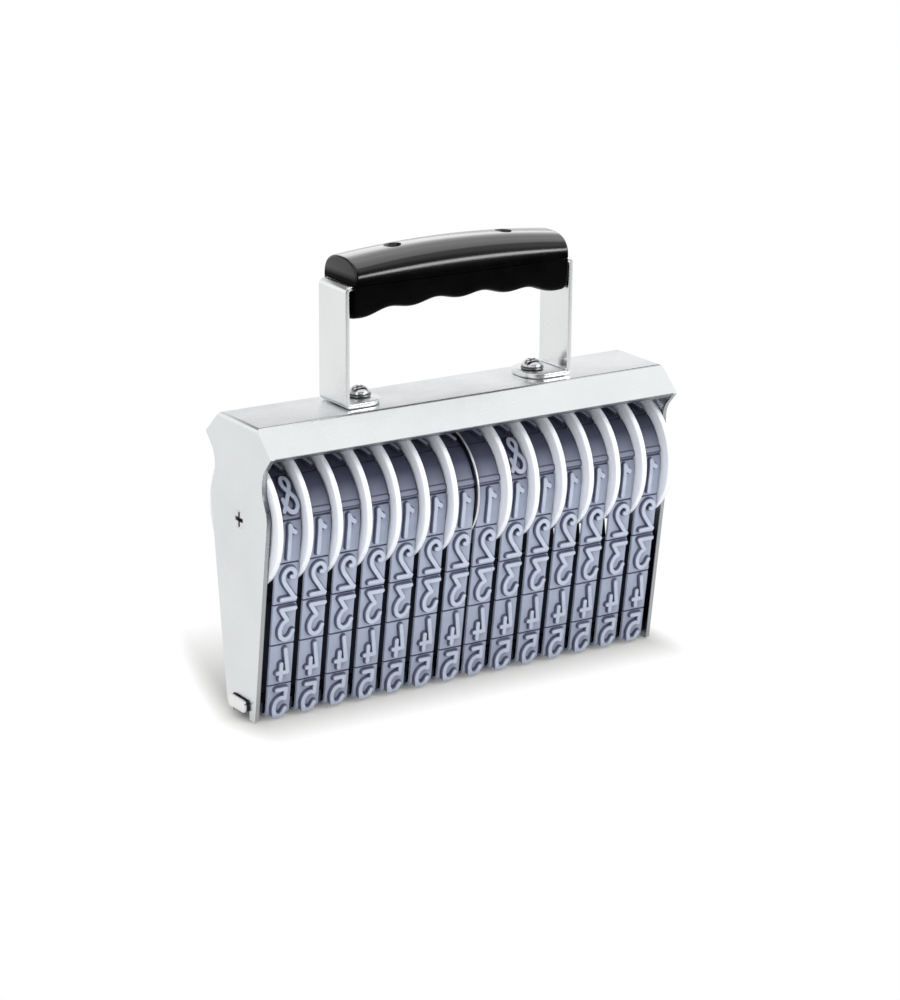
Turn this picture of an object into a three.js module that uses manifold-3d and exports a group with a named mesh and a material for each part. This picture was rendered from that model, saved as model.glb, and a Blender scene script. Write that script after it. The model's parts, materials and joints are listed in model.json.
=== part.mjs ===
// A hand numbering machine with fourteen rubber number bands, in millimetres.
// X runs along the row of bands, the front faces -Y and +Z is up.
// The origin is under the middle of the machine, on the surface that its type stands on.

import * as THREE from 'three';
import { mergeVertices } from 'three/addons/utils/BufferGeometryUtils.js';
import Module from 'manifold-3d';

const wasm = await Module();
wasm.setup();

// Clearances
const clearance = 0.3;
const seatGap = 0.2;
const cutOverrun = 1;

// Number bands
const bandCount = 14;
const cellCount = 14;
const bandWidth = 10.2;
const beltThickness = 0.8;
const typeHeight = 2.2;
const grooveWidth = 1.5;
const firstCellRise = 15.8;

// Thumb wheels, each with the drum that drives its band
const wheelThickness = 2.2;
const wheelRise = 3.6;
const wheelTeeth = 36;
const toothDepth = 0.5;
const drumRadius = 20.1;
const wheelSideClearance = 0.325;

// Disc between the two halves of the row
const dividerThickness = 1;
const dividerRise = 0.8;
const dividerSideClearance = 0.45;

// Shaft that all the wheels turn on, and the screw at each of its ends
const shaftRadius = 4;
const shaftHeight = 80;
const shaftScrewHeadRadius = 3.6;
const shaftScrewHeadDepth = 1.5;
const shaftScrewRadius = 2;
const shaftScrewLength = 9;

// Platen bar that backs the type at the bottom of the bands, and the rib that stiffens it
const platenWidth = 19.4;
const platenThickness = 4.7;
const platenCornerRadius = 1.5;
const lugWidth = 12.4;
const lugReach = 2;
const lugCornerRadius = 1.4;
const ribThickness = 2;
const ribHeight = 36;

// Folded sheet housing
const sheetThickness = 1.9;
const headroom = 10.2;
const coverTopWidth = 29;
const skirtDrop = 9.8;
const skirtSpan = 50.4;
const coverFoldRadius = 2.1;
const endFoldRadius = 1.7;
const plateLift = 0.6;
const plateFootWidth = 21.6;
const plateFootRadius = 1.2;
const plateShoulderWidth = 43.4;
const plateShoulderRise = 3.3;
const notchWaistWidth = 36.6;
const notchWaistRise = 16.8;
const notchLedge = 6;

// Flat bar handle, with a foot turned in at each end
const handleSpan = 105;
const handleRise = 48.3;
const strapWidth = 20;
const strapThickness = 2;
const strapBendRadius = 2.5;
const footLength = 19;
const footCornerRadius = 8;
const footScrewInset = 12.1;

// Screws, washers and nuts that hold the handle
const handleScrewRadius = 2;
const handleScrewHeadRadius = 4;
const handleScrewHeadHeight = 2.5;
const handleScrewPoint = 1.2;
const washerRadius = 4.6;
const washerThickness = 0.9;
const nutAcrossFlats = 7;
const nutHeight = 3.2;

// Moulded grip in two halves, clamped on the strap by two screws
const gripWidth = 24.6;
const gripEndGap = 1.6;
const gripCrown = 12.5;
const gripCrownDrop = 2.9;
const gripDepth = 10.8;
const gripBellyDrop = 3.6;
const gripEdgeRadius = 1.1;
const fingerPitch = 21.6;
const fingerDepth = 1.7;
const gripScrewSpacing = 51;
const gripScrewRadius = 1.6;
const gripScrewHeadRadius = 3.1;
const gripScrewHeadHeight = 2.2;
const gripScrewLength = 12;
const gripHoleRadius = 3.5;
const gripHoleFloor = 3.8;

// Sizes that follow from those above
const bandThickness = beltThickness + typeHeight;
const beltDrumRadius = drumRadius + clearance;
const typeRadius = beltDrumRadius + bandThickness;
const wheelRadius = typeRadius + wheelRise;
const wheelSlot = wheelThickness + 2 * wheelSideClearance;
const centreSlot = dividerThickness + 2 * dividerSideClearance;
const rowLength = bandCount * (bandWidth + wheelSlot) + centreSlot;
const plateInner = rowLength / 2;
const plateOuter = plateInner + sheetThickness;
const boreRadius = shaftRadius + clearance;
const platenBottom = bandThickness + clearance;
const platenTop = platenBottom + platenThickness;
const coverTop = shaftHeight + wheelRadius + headroom + sheetThickness;
const coverUnderside = coverTop - sheetThickness;
const lipHeight = coverTop - skirtDrop;
const handleHole = handleScrewRadius + clearance;
const gripHole = gripScrewRadius + clearance;
const footBottom = coverTop + seatGap;
const footTop = footBottom + strapThickness;
const bridgeTop = coverTop + handleRise;
const bridgeBottom = bridgeTop - strapThickness;
const footScrewX = handleSpan / 2 - footScrewInset;
const strapInner = handleSpan / 2 - strapThickness;
const footEnd = handleSpan / 2 - footLength;
const gripLength = 2 * (strapInner - gripEndGap);

// Finishes
const finish = (color, roughness, metalness) =>
  new THREE.MeshStandardMaterial({ color, roughness, metalness });
const satinSteel = finish(0xdfe2e4, 0.34, 0.9);
const brightSteel = finish(0xe6e8ea, 0.2, 1);
const darkSteel = finish(0x6f7276, 0.4, 0.9);
const whitePlastic = finish(0xf1f1f3, 0.45, 0);
const greyRubber = finish(0x8f96a6, 0.75, 0);
const blackPlastic = finish(0x0b0b0d, 0.2, 0);

// Directions in which an outline is extruded or a profile is revolved
const axisX = new THREE.Vector3(1, 0, 0);
const axisY = new THREE.Vector3(0, 1, 0);
const axisZ = new THREE.Vector3(0, 0, 1);
const yzAlongX = new THREE.Matrix4().makeBasis(axisY, axisZ, axisX);
const xzAlongY = new THREE.Matrix4().makeBasis(axisX, axisZ, axisY.clone().negate());
const xyAlongZ = new THREE.Matrix4();
const turnedAboutX = new THREE.Matrix4().makeBasis(axisY, axisX, axisZ.clone().negate());
const turnedAboutZ = xzAlongY;

const point = (u, v) => new THREE.Vector2(u, v);

// Facets round a full turn, from the smallest holes to the drums
const smallFacets = 12;
const boreFacets = 16;
const drumFacets = 22;
const discFacets = 32;

// A closed geometry as a solid that can be cut and joined
function solid(geometry) {
  geometry.deleteAttribute('normal');
  geometry.deleteAttribute('uv');
  const merged = mergeVertices(geometry);
  const corners = merged.index.array;
  const kept = [];
  for (let i = 0; i < corners.length; i += 3) {
    const [a, b, c] = corners.slice(i, i + 3);
    if (a !== b && b !== c && c !== a) kept.push(a, b, c);
  }
  const mesh = new wasm.Mesh({
    numProp: 3,
    vertProperties: merged.attributes.position.array,
    triVerts: new Uint32Array(kept),
  });
  return new wasm.Manifold(mesh);
}

function geometryOf(body) {
  const mesh = body.getMesh();
  const geometry = new THREE.BufferGeometry();
  geometry.setAttribute('position', new THREE.BufferAttribute(mesh.vertProperties, 3));
  geometry.setIndex(new THREE.BufferAttribute(mesh.triVerts, 1));
  return geometry;
}

// An outline extruded from one place to another along its direction
function extruded(outline, direction, from, to, holes = []) {
  const shape = new THREE.Shape(outline);
  shape.holes = holes.map((hole) => new THREE.Path(hole));
  const geometry = new THREE.ExtrudeGeometry(shape, { depth: to - from, bevelEnabled: false });
  geometry.translate(0, 0, from);
  return solid(geometry.applyMatrix4(direction));
}

// A profile of [radius, place along the axis] pairs turned about its axis
function revolved(profile, direction, segments) {
  const points = profile.map(([radius, along]) => point(radius, along));
  return solid(new THREE.LatheGeometry(points, segments).applyMatrix4(direction));
}

const rod = (radius, from, to, direction, segments) =>
  revolved([[0, from], [radius, from], [radius, to], [0, to]], direction, segments);

const ring = (inner, outer, from, to, direction, segments) =>
  revolved([[inner, from], [outer, from], [outer, to], [inner, to], [inner, from]], direction, segments);

function arcPoints(centreU, centreV, radius, startAngle, endAngle, steps) {
  const points = [];
  for (let i = 0; i <= steps; i += 1) {
    const angle = startAngle + ((endAngle - startAngle) * i) / steps;
    points.push(point(centreU + radius * Math.cos(angle), centreV + radius * Math.sin(angle)));
  }
  return points;
}

const circlePoints = (centreU, centreV, radius, steps) =>
  arcPoints(centreU, centreV, radius, 0, 2 * Math.PI, steps).slice(0, -1);

function roundedRectangle(width, low, high, lowRadius, highRadius, steps) {
  const half = width / 2;
  const corners = [
    [half, low, lowRadius, -Math.PI / 2],
    [half, high, highRadius, 0],
    [-half, high, highRadius, Math.PI / 2],
    [-half, low, lowRadius, Math.PI],
  ];
  return corners.flatMap(([u, v, radius, start]) => {
    if (radius === 0) return [point(u, v)];
    const centreU = u - Math.sign(u) * radius;
    const centreV = v + (v === low ? radius : -radius);
    return arcPoints(centreU, centreV, radius, start, start + Math.PI / 2, steps);
  });
}

// The section of a bent sheet, given by the corners of its outer face. All bends turn to the right,
// and the sheet's thickness lies on the right of the face.
function bentSheet(corners, thickness, bendRadius, steps) {
  const outer = [];
  const inner = [];
  const add = (base, normal) => {
    outer.push(base.clone());
    inner.push(base.clone().addScaledVector(normal, -thickness));
  };
  const leftOf = (run) => point(-run.y, run.x).normalize();
  corners.forEach((corner, i) => {
    const before = corners[i - 1];
    const after = corners[i + 1];
    if (!before || !after) {
      const run = before ? corner.clone().sub(before) : after.clone().sub(corner);
      add(corner, leftOf(run));
      return;
    }
    const runIn = corner.clone().sub(before).normalize();
    const runOut = after.clone().sub(corner).normalize();
    const turn = Math.acos(runIn.dot(runOut));
    const setback = bendRadius * Math.tan(turn / 2);
    const start = corner.clone().addScaledVector(runIn, -setback);
    const centre = start.clone().addScaledVector(leftOf(runIn), -bendRadius);
    for (let k = 0; k <= steps; k += 1) {
      const normal = leftOf(runIn).rotateAround(point(0, 0), (-turn * k) / steps);
      add(centre.clone().addScaledVector(normal, bendRadius), normal);
    }
  });
  return [...outer, ...inner.reverse()];
}

// A closed skin through a row of rings with the same number of points
function lofted(rings) {
  const count = rings[0].length;
  const positions = rings.flat().flatMap((corner) => corner.toArray());
  const indices = [];
  for (let i = 0; i < rings.length - 1; i += 1) {
    for (let j = 0; j < count; j += 1) {
      const a = i * count + j;
      const b = i * count + ((j + 1) % count);
      indices.push(a, a + count, b, b, a + count, b + count);
    }
  }
  const last = (rings.length - 1) * count;
  for (let j = 1; j < count - 1; j += 1) {
    indices.push(0, j, j + 1);
    indices.push(last, last + j + 1, last + j);
  }
  const geometry = new THREE.BufferGeometry();
  geometry.setAttribute('position', new THREE.Float32BufferAttribute(positions, 3));
  geometry.setIndex(indices);
  return solid(geometry);
}

const machine = new THREE.Group();

function addPiece(name, body, material, x = 0) {
  const mesh = new THREE.Mesh(geometryOf(body), material);
  mesh.name = name;
  mesh.position.x = x;
  machine.add(mesh);
}

// The row: a wheel stands on the left of each band in the left half, and on its right in the right half
function bandCentre(index) {
  const place = (index + 0.5 - bandCount / 2) * (bandWidth + wheelSlot);
  const side = Math.sign(place);
  return place + (side * (centreSlot - wheelSlot)) / 2;
}

const wheelSide = (index) => (index < bandCount / 2 ? -1 : 1);
const wheelCentre = (index) => bandCentre(index) + (wheelSide(index) * (bandWidth + wheelSlot)) / 2;

// The belt's inner face: round the drum, down each side and round the two corners of the platen
const cornerY = platenWidth / 2 - platenCornerRadius;
const cornerZ = platenBottom + platenCornerRadius;
const beltCornerRadius = platenCornerRadius + clearance;
const radiusDifference = beltDrumRadius - beltCornerRadius;
const centreDistance = Math.hypot(cornerY, shaftHeight - cornerZ);
const centreTilt = Math.atan2(cornerY, shaftHeight - cornerZ);
const sideTilt = Math.asin(radiusDifference / centreDistance) - centreTilt;
const sideLength = Math.sqrt(centreDistance ** 2 - radiusDifference ** 2);
const beltMiddle = beltThickness / 2;
const cornerTurn = Math.PI / 2 - sideTilt;

// Stretches of the loop in order, from the middle of the bottom towards the back and over the drum
const loopStretches = [
  { from: -Math.PI / 2, turn: 0, length: cornerY, start: [0, cornerZ], radius: beltCornerRadius },
  { from: -Math.PI / 2, turn: cornerTurn, centre: [cornerY, cornerZ], radius: beltCornerRadius },
  { from: -sideTilt, turn: 0, length: sideLength, start: [cornerY, cornerZ], radius: beltCornerRadius },
  { from: -sideTilt, turn: Math.PI + 2 * sideTilt, centre: [0, shaftHeight], radius: beltDrumRadius },
  { from: Math.PI + sideTilt, turn: 0, length: sideLength, start: [0, shaftHeight], radius: beltDrumRadius },
  { from: Math.PI + sideTilt, turn: cornerTurn, centre: [-cornerY, cornerZ], radius: beltCornerRadius },
  { from: -Math.PI / 2, turn: 0, length: cornerY, start: [-cornerY, cornerZ], radius: beltCornerRadius },
].map((stretch) => ({ ...stretch, length: stretch.length ?? stretch.turn * (stretch.radius + beltMiddle) }));
const loopLength = loopStretches.reduce((sum, stretch) => sum + stretch.length, 0);
const cellPitch = loopLength / cellCount;

// The point at a distance round the loop, at a height over the belt's inner face
function loopPoint(distance, height) {
  let rest = ((distance % loopLength) + loopLength) % loopLength;
  let stretch = loopStretches[0];
  for (const candidate of loopStretches) {
    stretch = candidate;
    if (rest <= candidate.length) break;
    rest -= candidate.length;
  }
  const share = Math.min(rest / stretch.length, 1);
  const angle = stretch.from + stretch.turn * share;
  const normal = point(Math.cos(angle), Math.sin(angle));
  const along = point(-normal.y, normal.x);
  const base = stretch.centre ? point(...stretch.centre) : point(...stretch.start);
  if (!stretch.centre) base.addScaledVector(along, rest);
  return base.addScaledVector(normal, stretch.radius + height);
}

// Distances round the loop of the facets' edges, which lie only in its bends
const drumSteps = 14;
const cornerSteps = 3;

function bendDistances() {
  const distances = [];
  let reached = 0;
  for (const stretch of loopStretches) {
    const steps = stretch.radius === beltDrumRadius ? drumSteps : cornerSteps;
    const edges = stretch.turn ? steps + 1 : 0;
    for (let i = 0; i < edges; i += 1) distances.push(reached + (stretch.length * i) / steps);
    reached += stretch.length;
  }
  return distances;
}

// One band: a belt with a type block for each cell and a groove between the blocks
function numberBand() {
  const sideStart = loopStretches.slice(0, 5).reduce((sum, stretch) => sum + stretch.length, 0);
  const firstGroove = sideStart - (firstCellRise - cornerZ) / Math.cos(sideTilt);
  const bends = bendDistances();
  const outer = [];
  for (let cell = 0; cell < cellCount; cell += 1) {
    const start = firstGroove + cell * cellPitch;
    const end = start + cellPitch - grooveWidth / 2;
    outer.push([start, beltThickness], [start + grooveWidth / 2, bandThickness]);
    const within = (distance) => distance > start + grooveWidth && distance < end - grooveWidth / 2;
    const onBlock = [...bends, ...bends.map((bend) => bend + loopLength)].filter(within);
    outer.push(...onBlock.map((bend) => [bend, bandThickness]), [end, bandThickness]);
  }
  const outerPoints = outer.map(([distance, height]) => loopPoint(distance, height));
  const innerPoints = bends.map((distance) => loopPoint(distance, 0));
  return extruded(outerPoints, yzAlongX, -bandWidth / 2, bandWidth / 2, [innerPoints]);
}

const band = numberBand();
for (let index = 0; index < bandCount; index += 1) {
  addPiece(`number_band_${String(index + 1).padStart(2, '0')}`, band, greyRubber, bandCentre(index));
}

// One thumb wheel: a serrated disc with a drum on the side of its band, bored for the shaft
function thumbWheel(side) {
  const rim = [];
  for (let i = 0; i < 2 * wheelTeeth; i += 1) {
    const angle = (Math.PI * i) / wheelTeeth;
    const radius = i % 2 ? wheelRadius - toothDepth : wheelRadius;
    rim.push(point(radius * Math.cos(angle), shaftHeight + radius * Math.sin(angle)));
  }
  const disc = extruded(rim, yzAlongX, -wheelThickness / 2, wheelThickness / 2);
  const drumLength = wheelThickness / 2 + wheelSideClearance + bandWidth;
  const drumOutline = circlePoints(0, shaftHeight, drumRadius, drumFacets);
  const drumEnd = -side * drumLength;
  const drum = extruded(drumOutline, yzAlongX, Math.min(0, drumEnd), Math.max(0, drumEnd));
  const boreOutline = circlePoints(0, shaftHeight, boreRadius, smallFacets);
  const bore = extruded(boreOutline, yzAlongX, -drumLength - cutOverrun, drumLength + cutOverrun);
  return disc.add(drum).subtract(bore);
}

for (let index = 0; index < bandCount; index += 1) {
  const name = `thumb_wheel_${String(index + 1).padStart(2, '0')}`;
  addPiece(name, thumbWheel(wheelSide(index)), whitePlastic, wheelCentre(index));
}

// Disc between the two middle bands
const dividerRadius = typeRadius + dividerRise;
const dividerFace = dividerThickness / 2;
const divider = ring(boreRadius, dividerRadius, -dividerFace, dividerFace, turnedAboutX, discFacets);
addPiece('centre_divider', divider.translate(0, 0, shaftHeight), brightSteel);

// Shaft, tapped at both ends, and its countersunk screws
const shaftEnd = plateInner - clearance;
const shaftBore = shaftScrewRadius + clearance;
const shaftBoreDepth = shaftScrewLength + clearance;
const shaftHole = rod(shaftBore, shaftEnd - shaftBoreDepth, shaftEnd + cutOverrun, turnedAboutX, smallFacets);
const shaft = rod(shaftRadius, -shaftEnd, shaftEnd, turnedAboutX, boreFacets)
  .subtract(shaftHole)
  .subtract(shaftHole.mirror([1, 0, 0]));
addPiece('wheel_shaft', shaft.translate(0, 0, shaftHeight), brightSteel);

// A countersunk screw, or with a margin the hole that it lies in
function countersunk(margin) {
  const neck = plateOuter - shaftScrewHeadDepth;
  const tip = shaftEnd - shaftScrewLength;
  const face = plateOuter + (margin ? cutOverrun : 0);
  const profile = [
    [0, tip],
    [shaftScrewRadius + margin, tip],
    [shaftScrewRadius + margin, neck],
    [shaftScrewHeadRadius + margin, plateOuter],
    [shaftScrewHeadRadius + margin, face],
    [0, face],
  ];
  const shape = margin ? profile : profile.filter((pair, i) => i !== 4);
  return revolved(shape, turnedAboutX, smallFacets).translate(0, 0, shaftHeight);
}

const bothEnds = [['left', -1], ['right', 1]];
const onSide = (body, side) => (side < 0 ? body.mirror([1, 0, 0]) : body);
for (const [end, side] of bothEnds) addPiece(`shaft_screw_${end}`, onSide(countersunk(0), side), darkSteel);

// Platen bar, with a lug at each end that reaches through the end plate
const barEnd = plateInner - clearance;
const barOutline = roundedRectangle(platenWidth, platenBottom, platenTop, platenCornerRadius, 0, 4);
const lugOutline = roundedRectangle(lugWidth, platenBottom, platenTop, lugCornerRadius, lugCornerRadius, 3);
const lugEnd = plateOuter + lugReach;
const lugs = extruded(lugOutline, yzAlongX, -lugEnd, lugEnd);
const platen = extruded(barOutline, yzAlongX, -barEnd, barEnd).add(lugs);
addPiece('platen_bar', platen, brightSteel);

// Rib inside the bands, which stands on the platen from end plate to end plate
const ribBottom = platenTop + seatGap;
const ribOutline = roundedRectangle(ribThickness, ribBottom, ribBottom + ribHeight, 0, 0, 1);
addPiece('platen_rib', extruded(ribOutline, yzAlongX, -barEnd, barEnd), darkSteel);

// Housing: the cover's bent section, an end plate at each end, and the rounded fold between them
function coverSection() {
  const corners = [
    point(-skirtSpan / 2, lipHeight),
    point(-coverTopWidth / 2, coverTop),
    point(coverTopWidth / 2, coverTop),
    point(skirtSpan / 2, lipHeight),
  ];
  return bentSheet(corners, sheetThickness, coverFoldRadius, 4);
}

const waistShare = 0.45;
const shoulderShare = 0.4;

// The back half of an end plate's edge, from under the skirt down to the foot
function plateEdge() {
  const skirtRun = point(skirtSpan / 2 - coverTopWidth / 2, -skirtDrop).normalize();
  const lip = point(skirtSpan / 2, lipHeight);
  const ledge = lip.clone().add(point(skirtRun.y, -skirtRun.x).multiplyScalar(notchLedge));
  const waist = point(notchWaistWidth / 2, shaftHeight + notchWaistRise);
  const shoulder = point(plateShoulderWidth / 2, shaftHeight + plateShoulderRise);
  const foot = point(plateFootWidth / 2, plateLift);
  const taper = shoulder.clone().sub(foot).normalize();
  const waistDrop = waist.y - shoulder.y;
  const edge = new THREE.Path();
  edge.moveTo(lip.x, lip.y);
  edge.lineTo(ledge.x, ledge.y);
  edge.quadraticCurveTo(waist.x, ledge.y - (ledge.x - waist.x), waist.x, waist.y);
  const leave = shoulder.clone().addScaledVector(taper, waistDrop * shoulderShare);
  edge.bezierCurveTo(waist.x, waist.y - waistDrop * waistShare, leave.x, leave.y, shoulder.x, shoulder.y);
  const footTurn = foot.clone().addScaledVector(taper, plateFootRadius);
  edge.lineTo(footTurn.x, footTurn.y);
  edge.quadraticCurveTo(foot.x, foot.y, foot.x - plateFootRadius, foot.y);
  return edge.getPoints(6);
}

function endPlate() {
  const section = coverSection();
  const outerFace = section.slice(0, section.length / 2);
  const back = plateEdge();
  const front = back.map((corner) => point(-corner.x, corner.y)).reverse();
  const outline = [...outerFace, ...back.slice(1), ...front.slice(0, -1)].reverse();
  const plate = extruded(outline, yzAlongX, plateInner, plateOuter);
  const slotWidth = lugWidth + 2 * clearance;
  const slotCorner = lugCornerRadius + clearance;
  const slotOutline = roundedRectangle(slotWidth, -cutOverrun, platenTop + clearance, 0, slotCorner, 3);
  const slot = extruded(slotOutline, yzAlongX, plateInner - cutOverrun, plateOuter + cutOverrun);
  return plate.subtract(slot).subtract(countersunk(clearance));
}

function housing() {
  const cover = extruded(coverSection().reverse(), yzAlongX, -plateOuter, plateOuter);
  const rightEnd = endPlate();
  const foldOutline = roundedRectangle(2 * plateOuter, -cutOverrun, coverTop, 0, endFoldRadius, 4);
  const folded = extruded(foldOutline, xzAlongY, -skirtSpan, skirtSpan);
  const holeBottom = coverUnderside - cutOverrun;
  const screwHole = rod(handleHole, holeBottom, coverTop + cutOverrun, turnedAboutZ, smallFacets);
  let body = cover.add(rightEnd).add(rightEnd.mirror([1, 0, 0])).intersect(folded);
  for (const [, side] of bothEnds) body = body.subtract(screwHole.translate(side * footScrewX, 0, 0));
  return body;
}

addPiece('housing', housing(), satinSteel);

// The handle's bent bar, or with a margin the room that it takes up in the grip
function bentBar(margin) {
  const outer = handleSpan / 2 + margin;
  const corners = [
    point(-footEnd, footBottom - margin),
    point(-outer, footBottom - margin),
    point(-outer, bridgeTop + margin),
    point(outer, bridgeTop + margin),
    point(outer, footBottom - margin),
    point(footEnd, footBottom - margin),
  ];
  const section = bentSheet(corners, strapThickness + 2 * margin, strapBendRadius + margin, 3).reverse();
  const half = strapWidth / 2 + margin;
  return extruded(section, xzAlongY, -half, half);
}

// What is cut away to round one corner of the right foot, seen from above
function footCorner() {
  const half = strapWidth / 2;
  const curve = arcPoints(footEnd + footCornerRadius, half - footCornerRadius, footCornerRadius, Math.PI,
    Math.PI / 2, 5);
  const outline = [
    point(footEnd - cutOverrun, half + cutOverrun),
    point(footEnd - cutOverrun, half - footCornerRadius),
    ...curve,
    point(footEnd + footCornerRadius, half + cutOverrun),
  ];
  return extruded(outline, xyAlongZ, footBottom - cutOverrun, footTop + cutOverrun);
}

// Handle: one flat bar bent to a U with feet, rounded at the feet's ends and drilled
function handleStrap() {
  const footHole = rod(handleHole, footBottom - cutOverrun, footTop + cutOverrun, turnedAboutZ, smallFacets);
  const bridgeHoleEnd = bridgeTop + cutOverrun;
  const bridgeHole = rod(gripHole, bridgeBottom - cutOverrun, bridgeHoleEnd, turnedAboutZ, smallFacets);
  let strap = bentBar(0);
  for (const [, side] of bothEnds) {
    const corner = onSide(footCorner(), side);
    strap = strap.subtract(corner).subtract(corner.mirror([0, 1, 0]));
    strap = strap.subtract(footHole.translate(side * footScrewX, 0, 0));
    strap = strap.subtract(bridgeHole.translate((side * gripScrewSpacing) / 2, 0, 0));
  }
  return strap;
}

addPiece('handle_strap', handleStrap(), brightSteel);

// Pan-head screw, washer and nut at each foot
const washerBottom = footTop + seatGap;
const washerTop = washerBottom + washerThickness;
const headBottom = washerTop + seatGap;
const nutTop = coverUnderside - seatGap;
const nutBottom = nutTop - nutHeight;

const panEdgeShare = 0.5;
const panCrownShare = 0.72;

function panHeadScrew(shankRadius, headRadius, headHeight, seat, tip) {
  const crown = seat + headHeight;
  const edge = headHeight * panEdgeShare;
  const profile = [
    [0, tip],
    [shankRadius, tip],
    [shankRadius, seat],
    [headRadius, seat],
    [headRadius, seat + edge],
    [headRadius * panCrownShare, crown],
    [0, crown],
  ];
  return revolved(profile, turnedAboutZ, boreFacets);
}

const handleScrew = panHeadScrew(handleScrewRadius, handleScrewHeadRadius, handleScrewHeadHeight, headBottom,
  nutBottom - handleScrewPoint);
const handleWasher = ring(handleHole, washerRadius, washerBottom, washerTop, turnedAboutZ, boreFacets);
const nutOutline = circlePoints(0, 0, nutAcrossFlats / Math.sqrt(3), 6);
const handleNut = extruded(nutOutline, xyAlongZ, nutBottom, nutTop)
  .subtract(rod(handleHole, nutBottom - cutOverrun, nutTop + cutOverrun, turnedAboutZ, smallFacets));
for (const [end, side] of bothEnds) {
  addPiece(`handle_screw_${end}`, handleScrew, brightSteel, side * footScrewX);
  addPiece(`handle_washer_${end}`, handleWasher, darkSteel, side * footScrewX);
  addPiece(`handle_nut_${end}`, handleNut, brightSteel, side * footScrewX);
}

// Grip: stations along its length, drawn in at both ends to round the edges
const edgeSteps = 2;
const crownPower = 2.7;
const bellyPower = 4.5;

function gripStations(halfLength, steps) {
  const stations = [];
  for (let i = 0; i <= edgeSteps; i += 1) {
    const angle = (Math.PI / 2) * (i / edgeSteps);
    const inset = gripEdgeRadius * (1 - Math.cos(angle));
    stations.push([halfLength - gripEdgeRadius * (1 - Math.sin(angle)), inset]);
  }
  const run = halfLength - gripEdgeRadius;
  const left = stations.map(([x, inset]) => [-x, inset]).reverse();
  const middle = [];
  for (let i = 1; i < steps; i += 1) middle.push([-run + (2 * run * i) / steps, 0]);
  return [...left, ...middle, ...stations];
}

// Half a superellipse over the grip's width, reaching up or down from a level
function gripRing(x, halfWidth, level, reach, power, steps) {
  const points = [];
  for (let i = 0; i <= steps; i += 1) {
    const angle = (Math.PI * i) / steps;
    const across = Math.sign(Math.cos(angle)) * Math.abs(Math.cos(angle)) ** (2 / power);
    const away = Math.sin(angle) ** (2 / power);
    points.push(new THREE.Vector3(x, halfWidth * across, level + reach * away));
  }
  return points;
}

const upperLevel = bridgeTop + clearance;
const lowerLevel = bridgeTop;
const along = (x) => (2 * x) / gripLength;

function gripUpper() {
  const rings = gripStations(gripLength / 2, 8).map(([x, inset]) => {
    const reach = gripCrown - clearance - gripCrownDrop * along(x) ** 2 - inset;
    return gripRing(x, gripWidth / 2 - inset, upperLevel, reach, crownPower, 10).reverse();
  });
  let body = lofted(rings);
  const above = bridgeTop + gripCrown + cutOverrun;
  const pocket = rod(gripHoleRadius, upperLevel + gripHoleFloor, above, turnedAboutZ, boreFacets);
  const hole = rod(gripHole, bridgeBottom, bridgeTop + gripCrown, turnedAboutZ, smallFacets);
  for (const [, side] of bothEnds) {
    const x = (side * gripScrewSpacing) / 2;
    body = body.subtract(pocket.translate(x, 0, 0)).subtract(hole.translate(x, 0, 0));
  }
  return body;
}

function gripLower() {
  const rings = gripStations(gripLength / 2, 24).map(([x, inset]) => {
    const belly = gripDepth + gripBellyDrop * along(x) ** 2 - inset;
    const finger = (fingerDepth / 2) * (1 - Math.cos((2 * Math.PI * x) / fingerPitch));
    return gripRing(x, gripWidth / 2 - inset, lowerLevel, finger - belly, bellyPower, 8);
  });
  let body = lofted(rings).subtract(bentBar(clearance));
  const hole = rod(gripHole, gripScrewTip - clearance, bridgeTop, turnedAboutZ, smallFacets);
  for (const [, side] of bothEnds) body = body.subtract(hole.translate((side * gripScrewSpacing) / 2, 0, 0));
  return body;
}

const gripScrewSeat = upperLevel + gripHoleFloor + seatGap;
const gripScrewTip = gripScrewSeat - gripScrewLength;
addPiece('grip_upper', gripUpper(), blackPlastic);
addPiece('grip_lower', gripLower(), blackPlastic);

const gripScrew = panHeadScrew(gripScrewRadius, gripScrewHeadRadius, gripScrewHeadHeight, gripScrewSeat,
  gripScrewTip);
for (const [end, side] of bothEnds) {
  addPiece(`grip_screw_${end}`, gripScrew, darkSteel, (side * gripScrewSpacing) / 2);
}

export default machine;
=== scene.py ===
# A hand numbering machine: fourteen rubber number bands under a folded steel housing with a black grip.
# X runs along the row of bands, the front faces -Y and +Z is up. Lengths are in metres, written as mm.

import json
import math

import bmesh
import bpy
import numpy as np
from mathutils import Matrix, Vector


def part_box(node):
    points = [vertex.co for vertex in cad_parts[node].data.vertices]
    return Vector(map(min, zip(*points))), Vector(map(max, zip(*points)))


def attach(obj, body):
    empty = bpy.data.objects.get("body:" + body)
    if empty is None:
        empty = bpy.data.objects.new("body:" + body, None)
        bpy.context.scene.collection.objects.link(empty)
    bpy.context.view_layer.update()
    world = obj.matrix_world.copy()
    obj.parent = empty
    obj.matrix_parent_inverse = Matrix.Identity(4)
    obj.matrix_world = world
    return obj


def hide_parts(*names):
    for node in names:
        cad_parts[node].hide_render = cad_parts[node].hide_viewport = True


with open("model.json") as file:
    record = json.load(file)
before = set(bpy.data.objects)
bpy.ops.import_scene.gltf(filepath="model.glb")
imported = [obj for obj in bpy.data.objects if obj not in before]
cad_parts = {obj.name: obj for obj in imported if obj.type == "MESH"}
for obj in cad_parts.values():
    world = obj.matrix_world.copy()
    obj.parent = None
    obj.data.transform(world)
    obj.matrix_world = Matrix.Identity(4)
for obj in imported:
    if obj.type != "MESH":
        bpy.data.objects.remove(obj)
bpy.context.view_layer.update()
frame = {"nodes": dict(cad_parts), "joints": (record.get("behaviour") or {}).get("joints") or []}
mm = 0.001


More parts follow.
